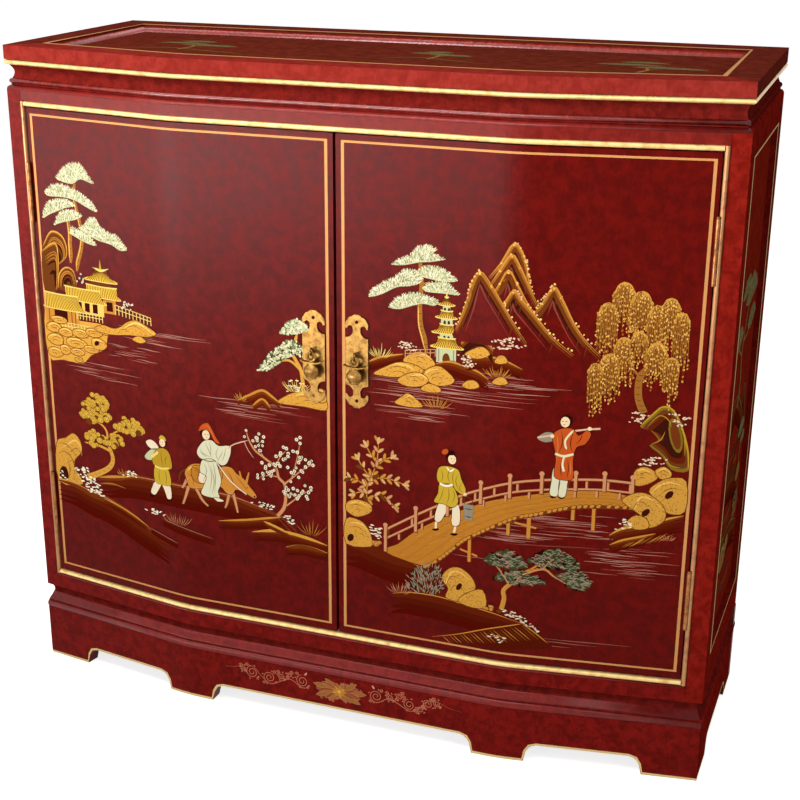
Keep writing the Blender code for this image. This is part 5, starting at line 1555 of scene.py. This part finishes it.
# gold lines and dim landscapes on the two sides
sideLine = {"low": (40.0, 158.2), "high": (261.9, 746.0), "wide": 4.2, "length": 294.9}
for side, word in ((-1, "left"), (1, "right")):
    picture = newCanvas(41 + side)
    edge = sideLine["wide"] / 2
    low = [sideLine["low"][0] - edge, sideLine["low"][1] - edge]
    high = [sideLine["high"][0] + edge, sideLine["high"][1] + edge]
    if side < 0:
        low[0], high[0] = sideLine["length"] - high[0], sideLine["length"] - low[0]
    # the side line is painted in the paler foot gold, lighter than the door lines: painted light, lifting it
    # where the side stands in shade
    frameLine("footGold", sideLine["wide"], low, high)
    finishCanvas(word + "_side_gold_line", sidePlace(side, 0.0), "carcass")
    picture = newCanvas(61 + side)
    near, far = footLine["endGap"], sideLine["length"] - footLine["endGap"]
    foot = cutOutLine(footLine["foot"], sideLine["length"] - footLine["foot"])
    edge = footLine["wide"] / 2
    bar("footGold", footLine["wide"], [Vector((near, edge))] + foot + [Vector((far, edge))])
    finishCanvas(word + "_side_base_gold_line", sideApronPlace(side), "carcass")

    picture = newCanvas(71 + side)
    for points, reach in (([(168, 372), (196, 408), (218, 440), (236, 414), (255, 380)], 30),
                          ([(60, 400), (100, 428), (140, 446), (180, 430), (235, 392)], 34),
                          ([(52, 318), (90, 342), (130, 352), (200, 336), (250, 300)], 40),
                          ([(48, 236), (110, 262), (180, 268), (254, 246)], 36)):
        crest(points, reach, "dimGold", 1.5, ("dimBrown", "hillGold", "hillBrown", "hillRust", "hillRed"))
    for low, high, count in ((366, 384, 16), (276, 296, 18), (184, 222, 30)):
        water(52, 250, low, high, count, ("dimBrown", "haze", "dimGold"), 1.0)
    above()
    boughs("dimGold", [((8, 5), [(150, 430), (160, 462), (150, 495), (166, 530), (190, 556)]),
                       ((4, 2), [(152, 494), (120, 510), (96, 520)]),
                       ((4, 2), [(158, 512), (196, 512), (232, 526)])])
    for loop in ([(150, 556), (172, 574), (206, 584), (242, 570), (252, 556), (214, 550), (178, 548)],
                 [(70, 516), (92, 534), (122, 538), (146, 524), (120, 510), (90, 508)],
                 [(186, 522), (210, 538), (238, 538), (256, 524), (228, 514), (204, 512)],
                 [(112, 570), (134, 588), (164, 590), (180, 578), (150, 566)]):
        pinePad(loop, "dimGreen", ("dimSage", "moss", "dimGold"), needle=4.6, dense=0.13)
    boughs("dimGold", [((5, 3), [(214, 330), (222, 352), (216, 376)]),
                       ((2.6, 1.4), [(220, 350), (236, 362)])])
    for loop in ([(190, 378), (206, 392), (226, 394), (246, 382), (222, 374)],
                 [(222, 362), (236, 372), (252, 368), (256, 360), (240, 357)]):
        pinePad(loop, "dimGreen", ("dimSage", "moss"), needle=3.8, dense=0.13)
    for x, y in ((76, 334), (112, 268), (160, 440), (88, 424), (172, 352)):
        grass("dimGold", (x, y), 22, 15, 11)
    for loop in ([(96, 236), (106, 256), (128, 262), (150, 250), (154, 234), (124, 226)],
                 [(60, 410), (72, 428), (92, 432), (104, 414), (82, 402)],
                 [(136, 246), (146, 260), (164, 262), (172, 248), (154, 240)],
                 [(196, 320), (204, 334), (222, 338), (234, 322), (214, 314)]):
        stone(loop, "dimGold", "dimSage", "dimBrown", specks=0.02)
    leafDots([(180, 268), (196, 296), (226, 300), (246, 276), (220, 262)], 60, ("dimGreen", "dimGold"), 2.4)
    finishCanvas(word + "_side_painting", sidePlace(side, sidePlan["sunk"]), "carcass")

# rounded edges lacquered thick: a lip over the top of the base and a fine bead under the door opening
edges = {"lip": [(73.0, -0.3), (73.0, 0.5), (73.4, 0.85), (74.2, 1.0), (76.4, 1.0), (78.0, 1.0), (79.6, 0.9),
                 (81.2, 0.7), (82.8, 0.4), (84.2, 0.1), (84.2, -0.3), (76.4, -0.3)], "beadWide": 2.6,
         "beadProud": 1.2, "beadGap": 1.0, "beadEnd": 436.0, "film": 0.2, "mitre": 0.85, "caseEnd": 458.4,
         "hollow": {"low": 81.7, "tall": 24.2, "deep": 6.9}, "case": {"top": 784.0, "round": 5.0},
         "roll": {"middle": 788.8, "radius": 3.0, "inset": 5.8}}


# reach gives the stations at each lift, so that the ends mitre
def sweepEdge(name, place, reach, profile, finish):
    bm = bmesh.new()
    loops = []
    for up, lift in profile:
        verts = [bm.verts.new(place(s / 1000, up / 1000, lift / 1000)) for s in reach(lift)]
        loops.append([bm.edges.new(pair) for pair in zip(verts, verts[1:])])
    for low, high in zip(loops, loops[1:] + loops[:1]):
        bmesh.ops.bridge_loops(bm, edges=low + high)
    bmesh.ops.edgenet_fill(bm, edges=[e for e in bm.edges if e.is_boundary])
    bmesh.ops.recalc_face_normals(bm, faces=bm.faces)
    for face in bm.faces:
        face.smooth = len(face.verts) == 4
    addPiece(name, bm, [finishes[finish]], "carcass")


def frontReach(end):
    return lambda lift: sorted([-end - edges["mitre"] * lift, end + edges["mitre"] * lift] + bendStations(0))


def filmOver(points):  # closed outline of a thin film over (height, inset) points
    outer = [(up, edges["film"] - inset) for up, inset in points]
    return outer + [(up, -1 - inset) for up, inset in reversed(points)]


def casePlace(across, up, lift):
    return frontPlace(across, up, -lift)


sweepEdge("base_front_lip", apronPlace, frontReach(apron["halfRun"]), edges["lip"], "ledge")
for side, word in ((-1, "left"), (1, "right")):
    ends = [-0.6, sideLine["length"]] if side > 0 else [0, sideLine["length"] + 0.6]
    sweepEdge("base_" + word + "_lip", sideApronPlace(side), lambda lift: ends, edges["lip"], "flank")
half = edges["beadWide"] / 2
middle = min(v.co.z for v in nodes["bottom_opening_bead"].data.vertices) * 1000 - edges["beadGap"] - half
bead = [(middle + half * math.cos(math.pi * k / 6), edges["beadProud"] * math.sin(math.pi * k / 6))
        for k in range(7)]
bead += [(middle - half, -0.3), (middle + half, -0.3)]
sweepEdge("bottom_rail_bead", casePlace, frontReach(edges["beadEnd"]), bead, "ledge")
hollow, case, roll = edges["hollow"], edges["case"], edges["roll"]
points = [(hollow["low"] + hollow["tall"] * t / 16,
           hollow["deep"] * math.sin(0.85 * math.pi * (t / 16) ** 1.3)) for t in range(1, 9)]
sweepEdge("base_hollow_film", casePlace, frontReach(edges["caseEnd"]), filmOver(points), "ledge")
turns = [math.pi / 2 * k / 6 for k in range(7)]
points = [(case["top"] - case["round"] * (1 - math.sin(a)), case["round"] * (1 - math.cos(a))) for a in turns]
sweepEdge("case_top_edge_film", casePlace, frontReach(edges["caseEnd"]), filmOver(points), "ledge")
points = [(roll["middle"] + roll["radius"] * math.sin(a), roll["inset"] - roll["radius"] * math.cos(a))
          for a in [-t for t in turns[:0:-1]] + turns]
sweepEdge("waist_roll_film", casePlace, frontReach(edges["caseEnd"]), filmOver(points), "roll")

# gold line on the inner edge of the top's rim, and a faint landscape on the sunk panel
topLine = {"inset": 0.0391, "wide": 5.0, "rim": 0.8317, "panel": 0.8227}
corner, backCorner = Vector(sidePlan["corner"]), Vector(sidePlan["back"])
run = (backCorner - corner).normalized()
inner = corner + Vector((-run.y, run.x)) * topLine["inset"]
cantEnd = frontPlace(1.0, 0, topLine["inset"])
cantStart = frontPlace(0.30, 0, topLine["inset"])
frontCorner = intersect_line_line_2d(cantStart.xy, cantEnd.xy, inner - run, inner + run)
backY = sidePlan["back"][1] - topLine["inset"]
rearCorner = inner + run * ((backY - inner.y) / run.y)
bends = [frontPlace(s / 1000, 0, topLine["inset"]).xy for s in bendStations(topLine["inset"])]
ring = [Vector((-frontCorner.x, frontCorner.y))] + sorted(bends, key=lambda p: p.x)
ring += [frontCorner, rearCorner, Vector((-rearCorner.x, backY))]


def ringInward(reach):  # the ring moved inwards, its corners kept mitred
    moved = []
    for before, spot, after in zip(ring[-1:] + ring[:-1], ring, ring[1:] + ring[:1]):
        come, go = (spot - before).normalized(), (after - spot).normalized()
        inward = Vector((-come.y - go.y, come.x + go.x)).normalized()
        moved.append(spot + inward * reach / max(0.3, inward.dot(Vector((-go.y, go.x)))))
    return moved


picture = newCanvas(81)
outer = ringInward((2.4 - topLine["wide"]) / 2000)
brush("lineGold", topLine["wide"], [p * 1000 for p in outer], steps=1, closed=True)
finishCanvas("top_rim_gold_line", lambda x, y, lift: Vector((x, y, topLine["rim"] + lift)), "carcass")

# ovolo round the foot of the recess, lacquered thick so that it gleams (a guess)
recess = {"tall": 0.0066, "deep": 0.0060, "steps": 6}
bm = bmesh.new()
loops = []
for k in range(recess["steps"] + 1):
    turn = math.pi / 2 * k / recess["steps"]
    reach, level = recess["deep"] * math.sin(turn), topLine["panel"] + recess["tall"] * math.cos(turn)
    verts = [bm.verts.new((spot.x, spot.y, level)) for spot in ringInward(reach)]
    loops.append([bm.edges.new(pair) for pair in zip(verts, verts[1:] + verts[:1])])
for low, high in zip(loops, loops[1:]):
    bmesh.ops.bridge_loops(bm, edges=low + high)
bm.normal_update()
bmesh.ops.reverse_faces(bm, faces=[f for f in bm.faces if f.normal.z < 0])
for face in bm.faces:
    face.smooth = True
addPiece("top_recess_ovolo", bm, [finishes["recess"]], "carcass")

picture = newCanvas(91)
for left, level, size in ((-330, 8, 1.0), (10, 24, 0.7), (240, -6, 1.15)):
    shore = [(left - 20, level - 40)]
    shore += [(left + dx * size, level - dy) for dx, dy in ((40, 16), (90, 26), (170, 44))]
    crest(shore, 12, "dimGold", 1.8, ("dimBrown",))
    boughs("dimGold", [((5, 3), [(left + 60 * size, level - 24), (left + 66 * size, level),
                                 (left + 58 * size, level + 22)]),
                       ((2.6, 1.4), [(left + 64 * size, level), (left + 92 * size, level + 12)])])
    for dx, dy, wide in ((40, 30, 34), (76, 16, 30), (52, 48, 24), (98, 14, 22)):
        x, y, half = left + dx * size, level + dy * size, wide * size
        pinePad([(x - half, y - 3), (x - half * 0.5, y + 7), (x + half * 0.2, y + 10),
                 (x + half * 0.8, y + 4), (x + half, y - 3), (x, y - 5)], "dimGreen", ("dimGold",),
                needle=4.5, dense=0.05)
    picture["coat"] = 0
streaks([(-250, -120, -52), (-80, 20, -40), (60, 190, -30), (-160, -60, 40), (120, 220, 56), (-40, 60, 78)],
        "dimBrown", 1.6)
finishCanvas("top_painting", lambda x, y, lift: Vector((x, y, topLine["panel"] + lift)), "carcass")

low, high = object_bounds()
